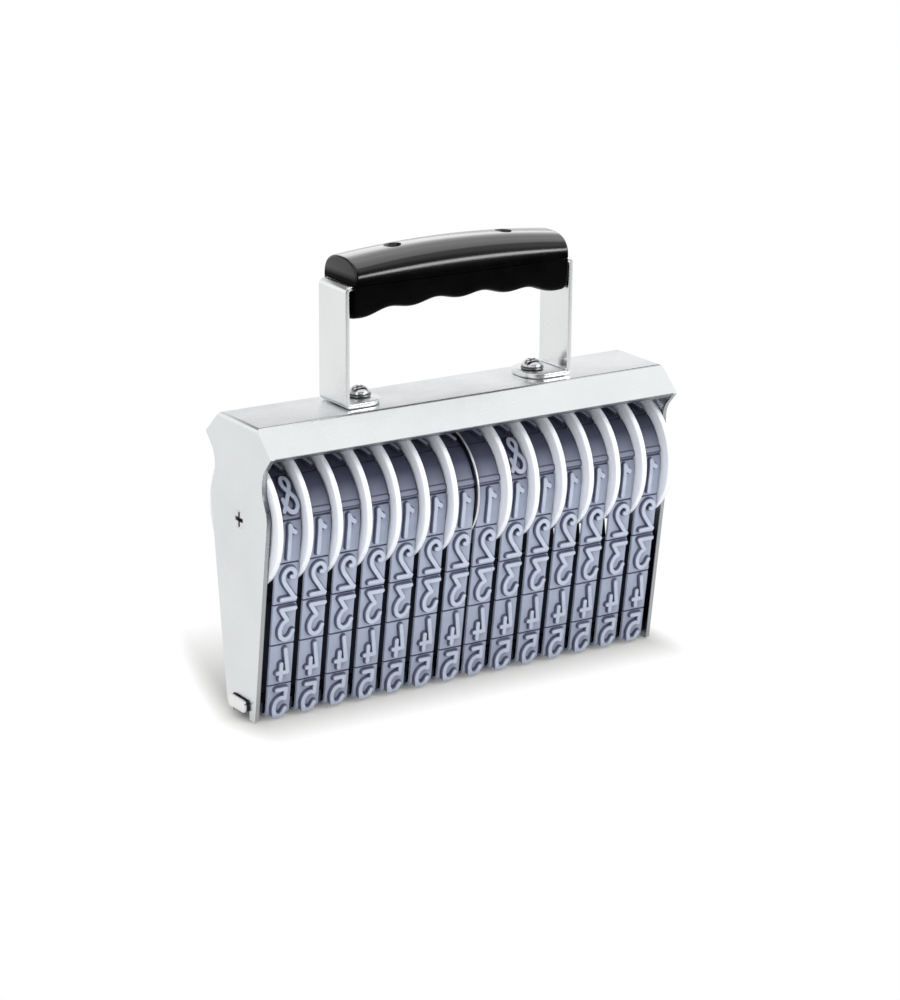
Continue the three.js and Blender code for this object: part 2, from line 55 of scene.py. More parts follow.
# View of the photograph
# A long lens stands at the front left, a little above the machine, and looks at the middle of it.
# The picture is taken as 900 by 1000, so the lens follows from its focal length in that picture's pixels.

image_height = 1000
focal_length_pixels = 3109
sensor_width = 36
view_azimuth = math.radians(-32.99)
view_elevation = math.radians(16.90)
view_roll = math.radians(0.416)
view_distance = 1233.4 * mm
view_target = Vector((0, 0, 80 * mm))
view_slide = (1.46 * mm, -6.96 * mm)

backward = Vector((
    math.sin(view_azimuth) * math.cos(view_elevation),
    -math.cos(view_azimuth) * math.cos(view_elevation),
    math.sin(view_elevation),
))
level_right = Vector((0, 0, 1)).cross(backward).normalized()
level_up = backward.cross(level_right)
right = math.cos(view_roll) * level_right + math.sin(view_roll) * level_up
up = backward.cross(right)
camera_data = bpy.data.cameras.new("view")
camera_data.sensor_width = sensor_width
camera_data.lens = focal_length_pixels * sensor_width / image_height
camera = bpy.data.objects.new("view", camera_data)
place = view_target + view_distance * backward + view_slide[0] * level_right + view_slide[1] * level_up
turn = Matrix((right, up, backward)).transposed().to_4x4()
camera.matrix_world = Matrix.Translation(place) @ turn
bpy.context.scene.collection.objects.link(camera)
bpy.context.scene.camera = camera


# Housing
# One sheet of plated steel: a flat top with a sloping skirt at the front and back, and an end plate
# folded down at each end. It is blanked, folded and brushed. Its cut edges are broken and painted with
# shade, most in the notch, and a painted shaded line runs along the skirt's lower edge.

plate_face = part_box("housing")[1].x
sheet_thickness = 1.5 * mm
sheet_edge = 0.5 * mm
skirt_drop = 9.8 * mm
skirt_run = 10.7 * mm
lip_half_span = 25.2 * mm
lip_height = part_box("housing")[1].z - skirt_drop
lip_shade_start = 0.45 * mm
lip_shade_full = 0.2 * mm
lip_end_fade = 0.3 * mm
notch_low = 79 * mm
notch_middle = 88 * mm
notch_high = 99 * mm
plating_light = (0.87, 0.89, 0.90)
plating_dark = (0.83, 0.85, 0.865)
# Painted shade on the end plates' cut edges, and on the skirt's lower edge
plate_edge_shade_color = (0.08, 0.085, 0.10)
lip_edge_shade_color = (0.20, 0.21, 0.23)


def new_material(name, color, roughness, metallic=0.0):
    """A material with one Principled BSDF, returned with its nodes and that shader."""
    material = bpy.data.materials.new(name)
    material.use_nodes = True
    tree = material.node_tree
    shader = tree.nodes["Principled BSDF"]
    shader.inputs["Base Color"].default_value = (*color, 1)
    shader.inputs["Roughness"].default_value = roughness
    shader.inputs["Metallic"].default_value = metallic
    return material, tree, shader


def math_node(tree, operation, first, second=None, third=None):
    """A math node on sockets or numbers, returned as its result."""
    node = tree.nodes.new("ShaderNodeMath")
    node.operation = operation
    for socket, value in zip(node.inputs, (first, second, third)):
        if isinstance(value, (int, float)):
            socket.default_value = value
        elif value is not None:
            tree.links.new(value, socket)
    return node.outputs[0]


def grain_group():
    """Fine grain of a brushed or moulded surface, as a node group: noise drawn out along each axis by the
    given lengths in mm, and slow cloudy marks of the given size in mm. It puts out a mask of each."""
    group = bpy.data.node_groups.new("fine_grain", "ShaderNodeTree")
    for label, length in (("Grain X", 1.0), ("Grain Y", 1.0), ("Grain Z", 1.0), ("Cloud", 20.0)):
        socket = group.interface.new_socket(label, in_out="INPUT", socket_type="NodeSocketFloat")
        socket.default_value = length
    for label in ("Grain", "Clouds"):
        group.interface.new_socket(label, in_out="OUTPUT", socket_type="NodeSocketFloat")
    nodes, links = group.nodes, group.links
    given = nodes.new("NodeGroupInput")
    result = nodes.new("NodeGroupOutput")
    place = nodes.new("ShaderNodeTexCoord")
    apart = nodes.new("ShaderNodeSeparateXYZ")
    links.new(place.outputs["Object"], apart.inputs[0])
    drawn_out = nodes.new("ShaderNodeCombineXYZ")
    for axis, label in enumerate(("Grain X", "Grain Y", "Grain Z")):
        in_mm = math_node(group, "DIVIDE", apart.outputs[axis], mm)
        links.new(math_node(group, "DIVIDE", in_mm, given.outputs[label]), drawn_out.inputs[axis])
    grain = nodes.new("ShaderNodeTexNoise")
    clouds = nodes.new("ShaderNodeTexNoise")
    for noise, detail, roughness in ((grain, 4, 0.6), (clouds, 5, 0.62)):
        noise.inputs["Detail"].default_value = detail
        noise.inputs["Roughness"].default_value = roughness
    grain.inputs["Scale"].default_value = 1
    links.new(drawn_out.outputs[0], grain.inputs["Vector"])
    links.new(math_node(group, "DIVIDE", 1 / mm, given.outputs["Cloud"]), clouds.inputs["Scale"])
    links.new(place.outputs["Object"], clouds.inputs["Vector"])
    links.new(grain.outputs["Fac"], result.inputs["Grain"])
    links.new(clouds.outputs["Fac"], result.inputs["Clouds"])
    return group


fine_grain = grain_group()


def grained(tree, lengths, cloud):
    """The grain and cloud masks of fine_grain with these lengths in mm."""
    node = tree.nodes.new("ShaderNodeGroup")
    node.node_tree = fine_grain
    for label, value in zip(("Grain X", "Grain Y", "Grain Z", "Cloud"), (*lengths, cloud)):
        node.inputs[label].default_value = value
    return node.outputs["Grain"], node.outputs["Clouds"]


def spread(tree, mask, low, high, at_low=0.3, at_high=0.7):
    """The mask stretched so that at_low gives low and at_high gives high."""
    node = tree.nodes.new("ShaderNodeMapRange")
    for label, value in (("From Min", at_low), ("From Max", at_high), ("To Min", low), ("To Max", high)):
        node.inputs[label].default_value = value
    tree.links.new(mask, node.inputs["Value"])
    return node.outputs["Result"]


def mixed(tree, mask, first, second):
    """Two colours mixed by a mask: 0 gives the first and 1 the second."""
    node = tree.nodes.new("ShaderNodeMix")
    node.data_type = "RGBA"
    tree.links.new(mask, node.inputs["Factor"])
    for socket, color in ((node.inputs["A"], first), (node.inputs["B"], second)):
        if isinstance(color, tuple):
            socket.default_value = (*color, 1)
        else:
            tree.links.new(color, socket)
    return node.outputs["Result"]


def bumped(tree, shader, height, distance):
    """A bump on the shader's normal, with the height mask worth the distance in mm."""
    node = tree.nodes.new("ShaderNodeBump")
    node.inputs["Distance"].default_value = distance * mm
    tree.links.new(height, node.inputs["Height"])
    tree.links.new(node.outputs["Normal"], shader.inputs["Normal"])


def steel(name, light, dark, smooth, rough, grain_lengths, bump):
    """Brushed or plated steel. Its colour goes from light to dark with slow clouds, and its roughness from
    smooth to rough with its grain and a little with the clouds. The grain's lengths and bump are in mm."""
    cloud_length = 26
    least_drift, most_drift = -0.03, 0.05
    material, tree, shader = new_material(name, light, smooth, 1.0)
    grain, clouds = grained(tree, grain_lengths, cloud_length)
    tree.links.new(mixed(tree, spread(tree, clouds, 0, 1), light, dark), shader.inputs["Base Color"])
    streaks = spread(tree, grain, smooth, rough)
    drift = spread(tree, clouds, least_drift, most_drift)
    tree.links.new(math_node(tree, "ADD", streaks, drift), shader.inputs["Roughness"])
    bumped(tree, shader, grain, bump)
    return material


def mask_of(tree, name):
    """The values of one of the mesh's own masks."""
    node = tree.nodes.new("ShaderNodeAttribute")
    node.attribute_name = name
    return node.outputs["Fac"]


def object_axes(tree):
    """The place on the object along X, Y and Z."""
    place = tree.nodes.new("ShaderNodeTexCoord")
    apart = tree.nodes.new("ShaderNodeSeparateXYZ")
    tree.links.new(place.outputs["Object"], apart.inputs[0])
    return apart


def darkened(material, mask, color):
    """Takes the material's colour to a darker one where the mask is 1."""
    tree = material.node_tree
    base = tree.nodes["Principled BSDF"].inputs["Base Color"]
    tree.links.new(mixed(tree, mask, base.links[0].from_socket, color), base)


def softened_copy(node, edge_radius):
    """A copy of a CAD node with its loose triangles merged, its flat faces joined and its sharp edges rounded
    by the radius."""
    flat_angle = math.radians(2)
    sharp_angle = math.radians(30)
    merge_distance = 0.001 * mm
    mesh = frame["nodes"][node].data.copy()
    mesh.materials.clear()
    work = bmesh.new()
    work.from_mesh(mesh)
    bmesh.ops.remove_doubles(work, verts=work.verts, dist=merge_distance)
    bmesh.ops.dissolve_limit(work, angle_limit=flat_angle, verts=work.verts, edges=work.edges)
    work.to_mesh(mesh)
    work.free()
    mesh.shade_smooth()
    mesh.set_sharp_from_angle(angle=sharp_angle)
    piece = bpy.data.objects.new(node + "_shell", mesh)
    bpy.context.scene.collection.objects.link(piece)
    rounding = piece.modifiers.new("broken_edges", "BEVEL")
    rounding.width = edge_radius
    rounding.segments = 3
    rounding.limit_method = "ANGLE"
    rounding.angle_limit = sharp_angle
    rounding.harden_normals = True
    rounding.use_clamp_overlap = True
    return piece


def fitted(piece, body, material, slot, *replaced):
    """Gives a piece its material and its body, and hides the CAD nodes that it stands for. The slot is not
    used.
    """
    piece.data.materials.append(material)
    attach(piece, body)
    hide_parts(*replaced)


def mark_plate_edges(mesh):
    """Marks the cut edges of the end plates: faces below the lip that do not face along the row."""
    below_lip = 0.1 * mm
    most_along = 0.3
    middles = np.empty(3 * len(mesh.polygons), np.float32)
    normals = np.empty(3 * len(mesh.polygons), np.float32)
    mesh.polygons.foreach_get("center", middles)
    mesh.polygons.foreach_get("normal", normals)
    marked = (middles[2::3] < lip_height - below_lip) & (np.abs(normals[::3]) < most_along)
    layer = mesh.attributes.new("cut_edge", "FLOAT", "FACE")
    layer.data.foreach_set("value", marked.astype(np.float32))


def plate_edge_shade(tree):
    """A mask of painted shade on the end plates' cut edges: half along them, and full in the notch."""
    height = object_axes(tree).outputs["Z"]
    rising = spread(tree, height, 0.5, 1, notch_low, notch_middle)
    falling = spread(tree, height, 1, 0.5, notch_middle, notch_high)
    notch_shade = math_node(tree, "MINIMUM", rising, falling)
    return math_node(tree, "MULTIPLY", mask_of(tree, "cut_edge"), notch_shade)


def skirt_lip_shade(tree):
    """A mask of painted shade on the skirt's lower cut edge: the last part of the way down it, between the
    end plates.
    """
    apart = object_axes(tree)
    slope = math.hypot(skirt_run, skirt_drop)
    outward = math_node(tree, "MULTIPLY", math_node(tree, "ABSOLUTE", apart.outputs["Y"]), skirt_run / slope)
    downward = math_node(tree, "MULTIPLY_ADD", apart.outputs["Z"], -skirt_drop / slope, outward)
    lip = (lip_half_span * skirt_run - lip_height * skirt_drop) / slope
    at_lip = spread(tree, downward, 0, 1, lip - lip_shade_start, lip - lip_shade_full)
    plate_inside = plate_face - sheet_thickness
    along = math_node(tree, "ABSOLUTE", apart.outputs["X"])
    between = spread(tree, along, 1, 0, plate_inside - lip_end_fade, plate_inside)
    return math_node(tree, "MULTIPLY", at_lip, between)


housing_steel = steel("housing_steel", plating_light, plating_dark, smooth=0.25, rough=0.29,
                      grain_lengths=(9, 0.25, 0.25), bump=0.0004)
tree = housing_steel.node_tree
# The cut edges of the end plates are painted with shade, most in the notch
darkened(housing_steel, plate_edge_shade(tree), plate_edge_shade_color)
# The skirt's lower cut edge is painted with shade
darkened(housing_steel, skirt_lip_shade(tree), lip_edge_shade_color)
housing = softened_copy("housing", sheet_edge)
mark_plate_edges(housing.data)
fitted(housing, "root", housing_steel, "housing_steel", "housing")


# Platen bar and its rib
# A steel bar that backs the type at the foot of the bands. Its middle is painted dark with shade, apart from
# the bright ends of its rounded lugs in the slots of the end plates. A black rib stands on it inside the
# bands, a dark piece that stands for the shade between them.

platen_edge = 0.9 * mm
rib_edge = 0.2 * mm
bright_length = 0.8 * mm
platen_shade_fade = 0.2 * mm
platen_shade_color = (0.045, 0.05, 0.075)
lug_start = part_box("platen_bar")[1].x - bright_length

platen_steel = steel("platen_steel", (0.96, 0.96, 0.97), (0.92, 0.92, 0.93), smooth=0.12, rough=0.22,
                     grain_lengths=(6, 0.3, 0.3), bump=0.0015)
tree = platen_steel.node_tree
# The middle of the bar is painted dark with shade, and only the ends of the lugs stay bright
from_middle = math_node(tree, "ABSOLUTE", object_axes(tree).outputs["X"])
shaded_middle = spread(tree, from_middle, 1, 0, lug_start - platen_shade_fade, lug_start)
darkened(platen_steel, shaded_middle, platen_shade_color)
platen = softened_copy("platen_bar", platen_edge)
fitted(platen, "root", platen_steel, "bright_steel", "platen_bar")

# Black steel: on the rib it is a dark piece that stands for the shade between the bands, and the grip bolts
# are black
black_steel_and_gap_shade = steel("blackened_steel_and_gap_shade", (0.055, 0.06, 0.09), (0.04, 0.043, 0.065), smooth=0.4, rough=0.55,
                    grain_lengths=(0.3, 0.3, 0.3), bump=0.004)
rib = softened_copy("platen_rib", rib_edge)
fitted(rib, "root", black_steel_and_gap_shade, "dark_steel", "platen_rib")


# Wheel shaft, its end screws and the nuts under the cover
# Turned steel rod, tapped at both ends for countersunk screws that lie flush in the end plates and are
# plated like them.

shaft_height = frame["joints"][0]["pos_m"][2]
end_screw_radius = 3.6 * mm
end_screw_depth = 1.2 * mm
end_screw_inset = 0.05 * mm
end_screw_rounding = 0.12 * mm
recess_shade_color = (0.03, 0.03, 0.035)

# A cross recess has the reach, the width and the depth of its arms
end_screw_cross = (3.1 * mm, 1.4 * mm, 1.0 * mm)

turned_steel = steel("turned_steel", (0.72, 0.72, 0.73), (0.60, 0.60, 0.62), smooth=0.22, rough=0.34,
                     grain_lengths=(0.2, 4, 4), bump=0.003)
for node in ("wheel_shaft", "handle_nut_left", "handle_nut_right"):
    frame["nodes"][node].data.materials.clear()
    frame["nodes"][node].data.materials.append(turned_steel)

plated_steel = steel("plated_steel", (0.86, 0.87, 0.88), (0.82, 0.83, 0.84), smooth=0.25, rough=0.30,
                     grain_lengths=(0.6, 0.6, 0.6), bump=0.0005)
# The cross recess is painted dark with shade
darkened(plated_steel, mask_of(plated_steel.node_tree, "recess"), recess_shade_color)


def surface(points, closed=False, **masks):
    """A grid of points with its quads and its masks, each mask an array of the grid's shape. Each row of the
    grid runs round and meets its own start, and where closed is true the last row meets the first."""
    rows, columns = points.shape[:2]
    row = np.arange(rows if closed else rows - 1)[:, None]
    column = np.arange(columns)[None, :]
    next_row = (row + 1) % rows
    next_column = (column + 1) % columns
    corners = (
        row * columns + column, next_row * columns + column,
        next_row * columns + next_column, row * columns + next_column,
    )
    quads = np.stack(corners, -1).reshape(-1, 4)
    values = {name: np.broadcast_to(mask, (rows, columns)).reshape(-1) for name, mask in masks.items()}
    return points.reshape(-1, 3), quads, values


def built(name, surfaces, sharp_angle=35.0):
    """One piece from several surfaces: doubles merged, normals turned outward, smooth up to the angle."""
    merge_distance = 0.0005 * mm
    sliver_length = 0.0001 * mm
    points = np.concatenate([part[0] for part in surfaces])
    starts = np.cumsum([0] + [len(part[0]) for part in surfaces[:-1]])
    quads = np.concatenate([part[1] + start for part, start in zip(surfaces, starts)])
    mesh = bpy.data.meshes.new(name)
    mesh.vertices.add(len(points))
    mesh.vertices.foreach_set("co", points.astype(np.float32).ravel())
    mesh.loops.add(quads.size)
    mesh.loops.foreach_set("vertex_index", quads.astype(np.int32).ravel())
    mesh.polygons.add(len(quads))
    mesh.polygons.foreach_set("loop_start", np.arange(0, quads.size, 4, dtype=np.int32))
    mesh.update(calc_edges=True)
    for mask in sorted({key for part in surfaces for key in part[2]}):
        layer = mesh.attributes.new(mask, "FLOAT", "POINT")
        values = [part[2].get(mask, np.zeros(len(part[0]))) for part in surfaces]
        layer.data.foreach_set("value", np.concatenate(values).astype(np.float32))
    work = bmesh.new()
    work.from_mesh(mesh)
    bmesh.ops.remove_doubles(work, verts=work.verts, dist=merge_distance)
    bmesh.ops.dissolve_degenerate(work, edges=work.edges, dist=sliver_length)
    bmesh.ops.recalc_face_normals(work, faces=work.faces)
    work.to_mesh(mesh)
    work.free()
    mesh.shade_smooth()
    mesh.set_sharp_from_angle(angle=math.radians(sharp_angle))
    piece = bpy.data.objects.new(name, mesh)
    bpy.context.scene.collection.objects.link(piece)
    return piece


def full_turn(count):
    """Evenly spaced angles once round, as a row."""
    return np.linspace(0, 2 * np.pi, count, endpoint=False)[None, :]


def around_x(along, radius, angle, centre_height):
    """Points about a line parallel to X: their place along it, their distance from it and their angle."""
    height = centre_height + radius * np.sin(angle)
    return np.stack(np.broadcast_arrays(along, radius * np.cos(angle), height), -1)


def cross_depth(across, beside, cross):
    """The depth of a cross recess at a point of a screw head: full in the arms, with a steep fall over their
    sides and a rounded one towards their ends."""
    side_share, end_share = 0.18, 0.5
    reach, width, depth = cross
    arm = np.minimum(np.abs(across), np.abs(beside))
    length = np.maximum(np.abs(across), np.abs(beside))
    side = np.clip((width / 2 - arm) / (side_share * width) + 0.5, 0, 1)
    end = np.clip((reach - length) / (end_share * reach), 0, 1)
    return depth * side * np.sqrt(end)


def recessed(head, recess, cross, below):
    """A screw's head and the rows of points below it as one surface. Its mask is 1 in the cross recess, from
    half of its depth down, and marks where shade is painted."""
    mask = np.concatenate([np.clip(2 * recess / cross[2], 0, 1), np.zeros(below.shape[:2])])
    return surface(np.concatenate([head, below]), recess=mask)


def end_screw(side):
    """The head's flat face with its cross recess, on a grid of radius and angle, with a rounded rim, and the
    cone under it."""
    rim_share = 0.06
    cone_narrowing = 0.6
    share = np.linspace(0, 1, 30)[:, None]
    angle = full_turn(96)
    radius = end_screw_radius * share
    recess = cross_depth(radius * np.cos(angle), radius * np.sin(angle), end_screw_cross)
    rounding = end_screw_rounding * np.clip((share - 1 + rim_share) / rim_share, 0, 1) ** 2
    face = plate_face - end_screw_inset
    head = around_x(side * (face - recess - rounding), radius, angle, shaft_height)
    cone_share = np.linspace(0, 1, 4)[:, None]
    cone_radius = end_screw_radius * (1 - cone_narrowing * cone_share)
    cone_along = side * (face - end_screw_rounding - end_screw_depth * cone_share)
    cone = around_x(cone_along, cone_radius, angle, shaft_height)
    middle = around_x(cone_along[-1], 0 * angle, angle, shaft_height)
    return recessed(head, recess, end_screw_cross, np.concatenate([cone, middle]))


for end, side in (("left", -1), ("right", 1)):
    screw = built(f"end_screw_{end}", [end_screw(side)])
    fitted(screw, "root", plated_steel, "fastener_steel", f"shaft_screw_{end}")


# Thumb wheels
# White moulded wheels with a knurled rim. Each is in one piece with the drum that carries its band,
# and all fourteen turn on the shaft.

wheel_radius = 27.0 * mm
wheel_thickness = 2.2 * mm
bore_radius = 4.3 * mm
hub_radius = 7.0 * mm
rim_inside = 22.2 * mm
dish_depth = 0.35 * mm
dish_slope = 0.6 * mm
rim_edge = 0.35 * mm
knurl_reach = 1.0 * mm
knurl_teeth = 150
knurl_depth = 0.16 * mm
points_per_tooth = 4
band_width = 10.2 * mm
band_gap = 0.325 * mm
drum_radius = 20.1 * mm
drum_wall = 1.6 * mm
drum_reach = wheel_thickness / 2 + band_gap + band_width

wheel_plastic, tree, shader = new_material("wheel_plastic", (0.85, 0.86, 0.87), 0.42)
grain, clouds = grained(tree, lengths=(0.5, 0.5, 0.5), cloud=7)
ivory = mixed(tree, spread(tree, clouds, 0, 1), (0.88, 0.90, 0.955), (0.85, 0.87, 0.925))
tree.links.new(ivory, shader.inputs["Base Color"])
tree.links.new(spread(tree, grain, 0.36, 0.5), shader.inputs["Roughness"])
bumped(tree, shader, grain, distance=0.01)


def thumb_wheel(centre, side):
    """A profile turned about the shaft: bore, dished outer face, knurled rim, inner face and drum. On the rim
    the radius dips once a tooth, and the drum lies on the side away from the machine's end."""
    half = wheel_thickness / 2
    dish = -half + dish_depth

    # Each point has its radius, its place along the shaft and its share of the knurl
    profile = [
        (bore_radius, -half, 0), (hub_radius, -half, 0), (hub_radius + dish_slope, dish, 0),
        (rim_inside - dish_slope, dish, 0), (rim_inside, -half, 0), (wheel_radius - knurl_reach, -half, 0),
        (wheel_radius - rim_edge, -half, 0.5), (wheel_radius, -half + rim_edge, 1), (wheel_radius, 0, 1),
        (wheel_radius, half - rim_edge, 1), (wheel_radius - rim_edge, half, 0.5),
        (wheel_radius - knurl_reach, half, 0), (drum_radius, half, 0), (drum_radius, drum_reach, 0),
        (drum_radius - drum_wall, drum_reach, 0), (bore_radius, drum_reach, 0),
    ]
    radius, along, knurl = np.array(profile).T[:, :, None]
    angle = full_turn(knurl_teeth * points_per_tooth)
    dip = knurl * knurl_depth * (0.5 - 0.5 * np.cos(knurl_teeth * angle))
    return surface(around_x(centre - side * along, radius - dip, angle, shaft_height), closed=True)


for joint in frame["joints"]:
    number = joint["name"].split("_")[1]
    centre = joint["pos_m"][0]
    wheel = built(f"wheel_{number}", [thumb_wheel(centre, math.copysign(1, centre))], 50)
    fitted(wheel, joint["child"], wheel_plastic, "wheel_plastic", f"thumb_wheel_{number}")


# Centre divider
# A thin disc between the two middle bands, on the shaft. It is stamped from sheet with a bright rim, and its
# flat sides are painted dark with shade.

divider_low, divider_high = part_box("centre_divider")
divider_radius = 23.7 * mm
divider_half = (divider_high.x - divider_low.x) / 2
divider_rounding = 0.66 * divider_half
divider_face_shade_color = (0.15, 0.155, 0.18)

divider_steel = steel("divider_steel", (0.90, 0.91, 0.93), (0.84, 0.85, 0.88), smooth=0.30, rough=0.42,
                      grain_lengths=(0.5, 0.5, 0.5), bump=0.003)
# The flat sides are painted dark with shade
darkened(divider_steel, mask_of(divider_steel.node_tree, "flat"), divider_face_shade_color)


def divider_disc():
    """A flat ring turned about the shaft, with its rim rounded over a third of its thickness on each side."""
    half, edge = divider_half, divider_rounding

    # Each point has its radius, its place along the shaft and 1 where it is on a flat side
    profile = [
        (bore_radius, -half, 1), (divider_radius - edge, -half, 1),
        (divider_radius - 0.6 * edge, -half + 0.1 * edge, 0), (divider_radius, -half + edge, 0),
        (divider_radius, half - edge, 0), (divider_radius - 0.6 * edge, half - 0.1 * edge, 0),
        (divider_radius - edge, half, 1), (bore_radius, half, 1),
    ]
    radius, along, flat = np.array(profile).T[:, :, None]
    return surface(around_x(along, radius, full_turn(180), shaft_height), closed=True, flat=flat)


divider = built("divider_disc", [divider_disc()])
fitted(divider, "root", divider_steel, "bright_steel", "centre_divider")


# Number bands
# Grey moulded rubber belts with a cell for each sign, cut in mirror writing so that they print the right way
# round. Each belt runs over its drum and round the two corners of the platen, and its signs bend with it.

belt_drum_radius = 20.4 * mm
corner_radius = 1.8 * mm
corner_place = (8.2 * mm, 4.8 * mm)
belt_thickness = 0.8 * mm
belt_edge = 0.22 * mm
cell_floor = 1.45 * mm
type_face = 2.98 * mm
groove_width = 0.9 * mm
cell_count = 14
first_cell_height = 15.8 * mm

quarter = math.pi / 2
corner_drop = shaft_height - corner_place[1]
between_centres = math.hypot(corner_place[0], corner_drop)
lean = math.atan2(corner_place[0], corner_drop)
side_tilt = math.asin((belt_drum_radius - corner_radius) / between_centres) - lean
side_length = math.sqrt(between_centres ** 2 - (belt_drum_radius - corner_radius) ** 2)

# Each stretch of the loop has its first direction outward, the angle that it turns, the centre that it keeps
# to, its inner face's distance from that, and its length where it is straight
loop = [
    (-quarter, 0, (0, corner_place[1]), corner_radius, corner_place[0]),
    (-quarter, quarter - side_tilt, corner_place, corner_radius, 0),
    (-side_tilt, 0, corner_place, corner_radius, side_length),
    (-side_tilt, math.pi + 2 * side_tilt, (0, shaft_height), belt_drum_radius, 0),
    (math.pi + side_tilt, 0, (0, shaft_height), belt_drum_radius, side_length),
    (math.pi + side_tilt, quarter - side_tilt, (-corner_place[0], corner_place[1]), corner_radius, 0),
    (-quarter, 0, (-corner_place[0], corner_place[1]), corner_radius, corner_place[0]),
]
front_side = 4
loop_from, loop_turn, loop_centre, loop_radius, loop_straight = (np.array(column) for column in zip(*loop))
loop_lengths = loop_straight + loop_turn * (loop_radius + belt_thickness / 2)
loop_ends = np.cumsum(loop_lengths)
loop_starts = loop_ends - loop_lengths
loop_length = loop_ends[-1]
cell_pitch = loop_length / cell_count
front_top = loop_starts[front_side]
first_groove = front_top + side_length - (first_cell_height - corner_place[1]) / math.cos(side_tilt)


def on_loop(distance, height, across):
    """Points of a belt. The distance runs from the middle of the bottom, up the back, over the drum and down
    the front, the height is outward from the belt's inner face, and the last value is the place along X."""
    distance = np.mod(distance, loop_length)
    stretch = np.minimum(np.searchsorted(loop_ends, distance, side="right"), len(loop) - 1)
    rest = distance - loop_starts[stretch]
    angle = loop_from[stretch] + loop_turn[stretch] * rest / loop_lengths[stretch]
    straight = np.where(loop_turn[stretch] == 0, rest, 0)
    outward = loop_radius[stretch] + height
    y = loop_centre[stretch, 0] + np.cos(angle) * outward - np.sin(angle) * straight
    z = loop_centre[stretch, 1] + np.sin(angle) * outward + np.cos(angle) * straight
    return np.stack(np.broadcast_arrays(across, y, z), -1)


def belt_body():
    """The belt with its cells: a rectangular section with rounded edges, carried round the loop. Its
    thickness drops by a quarter sine to the bare belt in the groove between two cells."""
    floor_share, side_share = 0.3, 0.2
    groove_relief, cell_relief = 0.15, 0.5
    steps = np.linspace(0, cell_pitch, 19)[:-1]
    wall = groove_width * np.array([-0.5, -0.42, -0.3, 0.3, 0.42, 0.5])
    within = np.concatenate([wall, steps[(steps > groove_width) & (steps < cell_pitch - groove_width)]])
    distance = np.sort((first_groove + np.arange(cell_count)[:, None] * cell_pitch + within).ravel())
    from_groove = np.abs(np.mod(distance - first_groove + cell_pitch / 2, cell_pitch) - cell_pitch / 2)
    rise = np.sin(quarter * np.clip((from_groove / groove_width - floor_share) / side_share, 0, 1))[:, None]
    top = belt_thickness + (cell_floor - belt_thickness) * rise
    half, edge = band_width / 2, belt_edge

    # The inner face and the grooves are painted dark with shade, and the rounded top edges get a little
    # painted highlight
    # Each point has its place across, its share of the thickness, its rise and its share of relief
    section = [
        (-half + edge, 0, 0, 0), (half - edge, 0, 0, 0), (half, 0, edge, 1), (half, 1, -edge, 1),
        (half - 0.3 * edge, 1, -0.3 * edge, 1.2), (half - edge, 1, 0, 1.1), (-half + edge, 1, 0, 1.1),
        (-half + 0.3 * edge, 1, -0.3 * edge, 1.2), (-half, 1, -edge, 1), (-half, 0, edge, 1),
    ]
    across, share, shift, skin = np.array(section).T[:, None, :]
    relief = skin * (groove_relief + (cell_relief - groove_relief) * rise)
    return surface(on_loop(distance[:, None], share * top + shift, across), closed=True, relief=relief)


def smooth_path(corners, closed):
    """A Catmull-Rom curve through the corners, which meets its own start where closed is true."""
    samples = 9
    corners = np.array(corners, float)
    if closed:
        ends = (corners[-1:], corners[:2])
    else:
        ends = (2 * corners[:1] - corners[1:2], 2 * corners[-1:] - corners[-2:-1])
    held = np.concatenate([ends[0], corners, ends[1]])
    share = np.linspace(0, 1, samples)[:-1, None, None]
    before, start, end, after = held[:-3], held[1:-2], held[2:-1], held[3:]
    curve = 0.5 * (
        2 * start + (end - before) * share + (2 * before - 5 * start + 4 * end - after) * share ** 2
        + (3 * start - before - 3 * end + after) * share ** 3
    )
    curve = curve.transpose(1, 0, 2).reshape(-1, 2)
    return curve if closed else np.concatenate([curve, corners[-1:]])


face_half = 0.74 * mm
face_edge = 0.16 * mm
wall_draft = 0.22 * mm
fillet = 0.35 * mm
fillet_rise = 0.06 * mm
skin_gap = 0.015 * mm
root_depth = 0.2 * mm
sign_width = 7.8 * mm
sign_height = 14.3 * mm
sign_offset = 0.75 * mm
sign_lift = 0.4 * mm


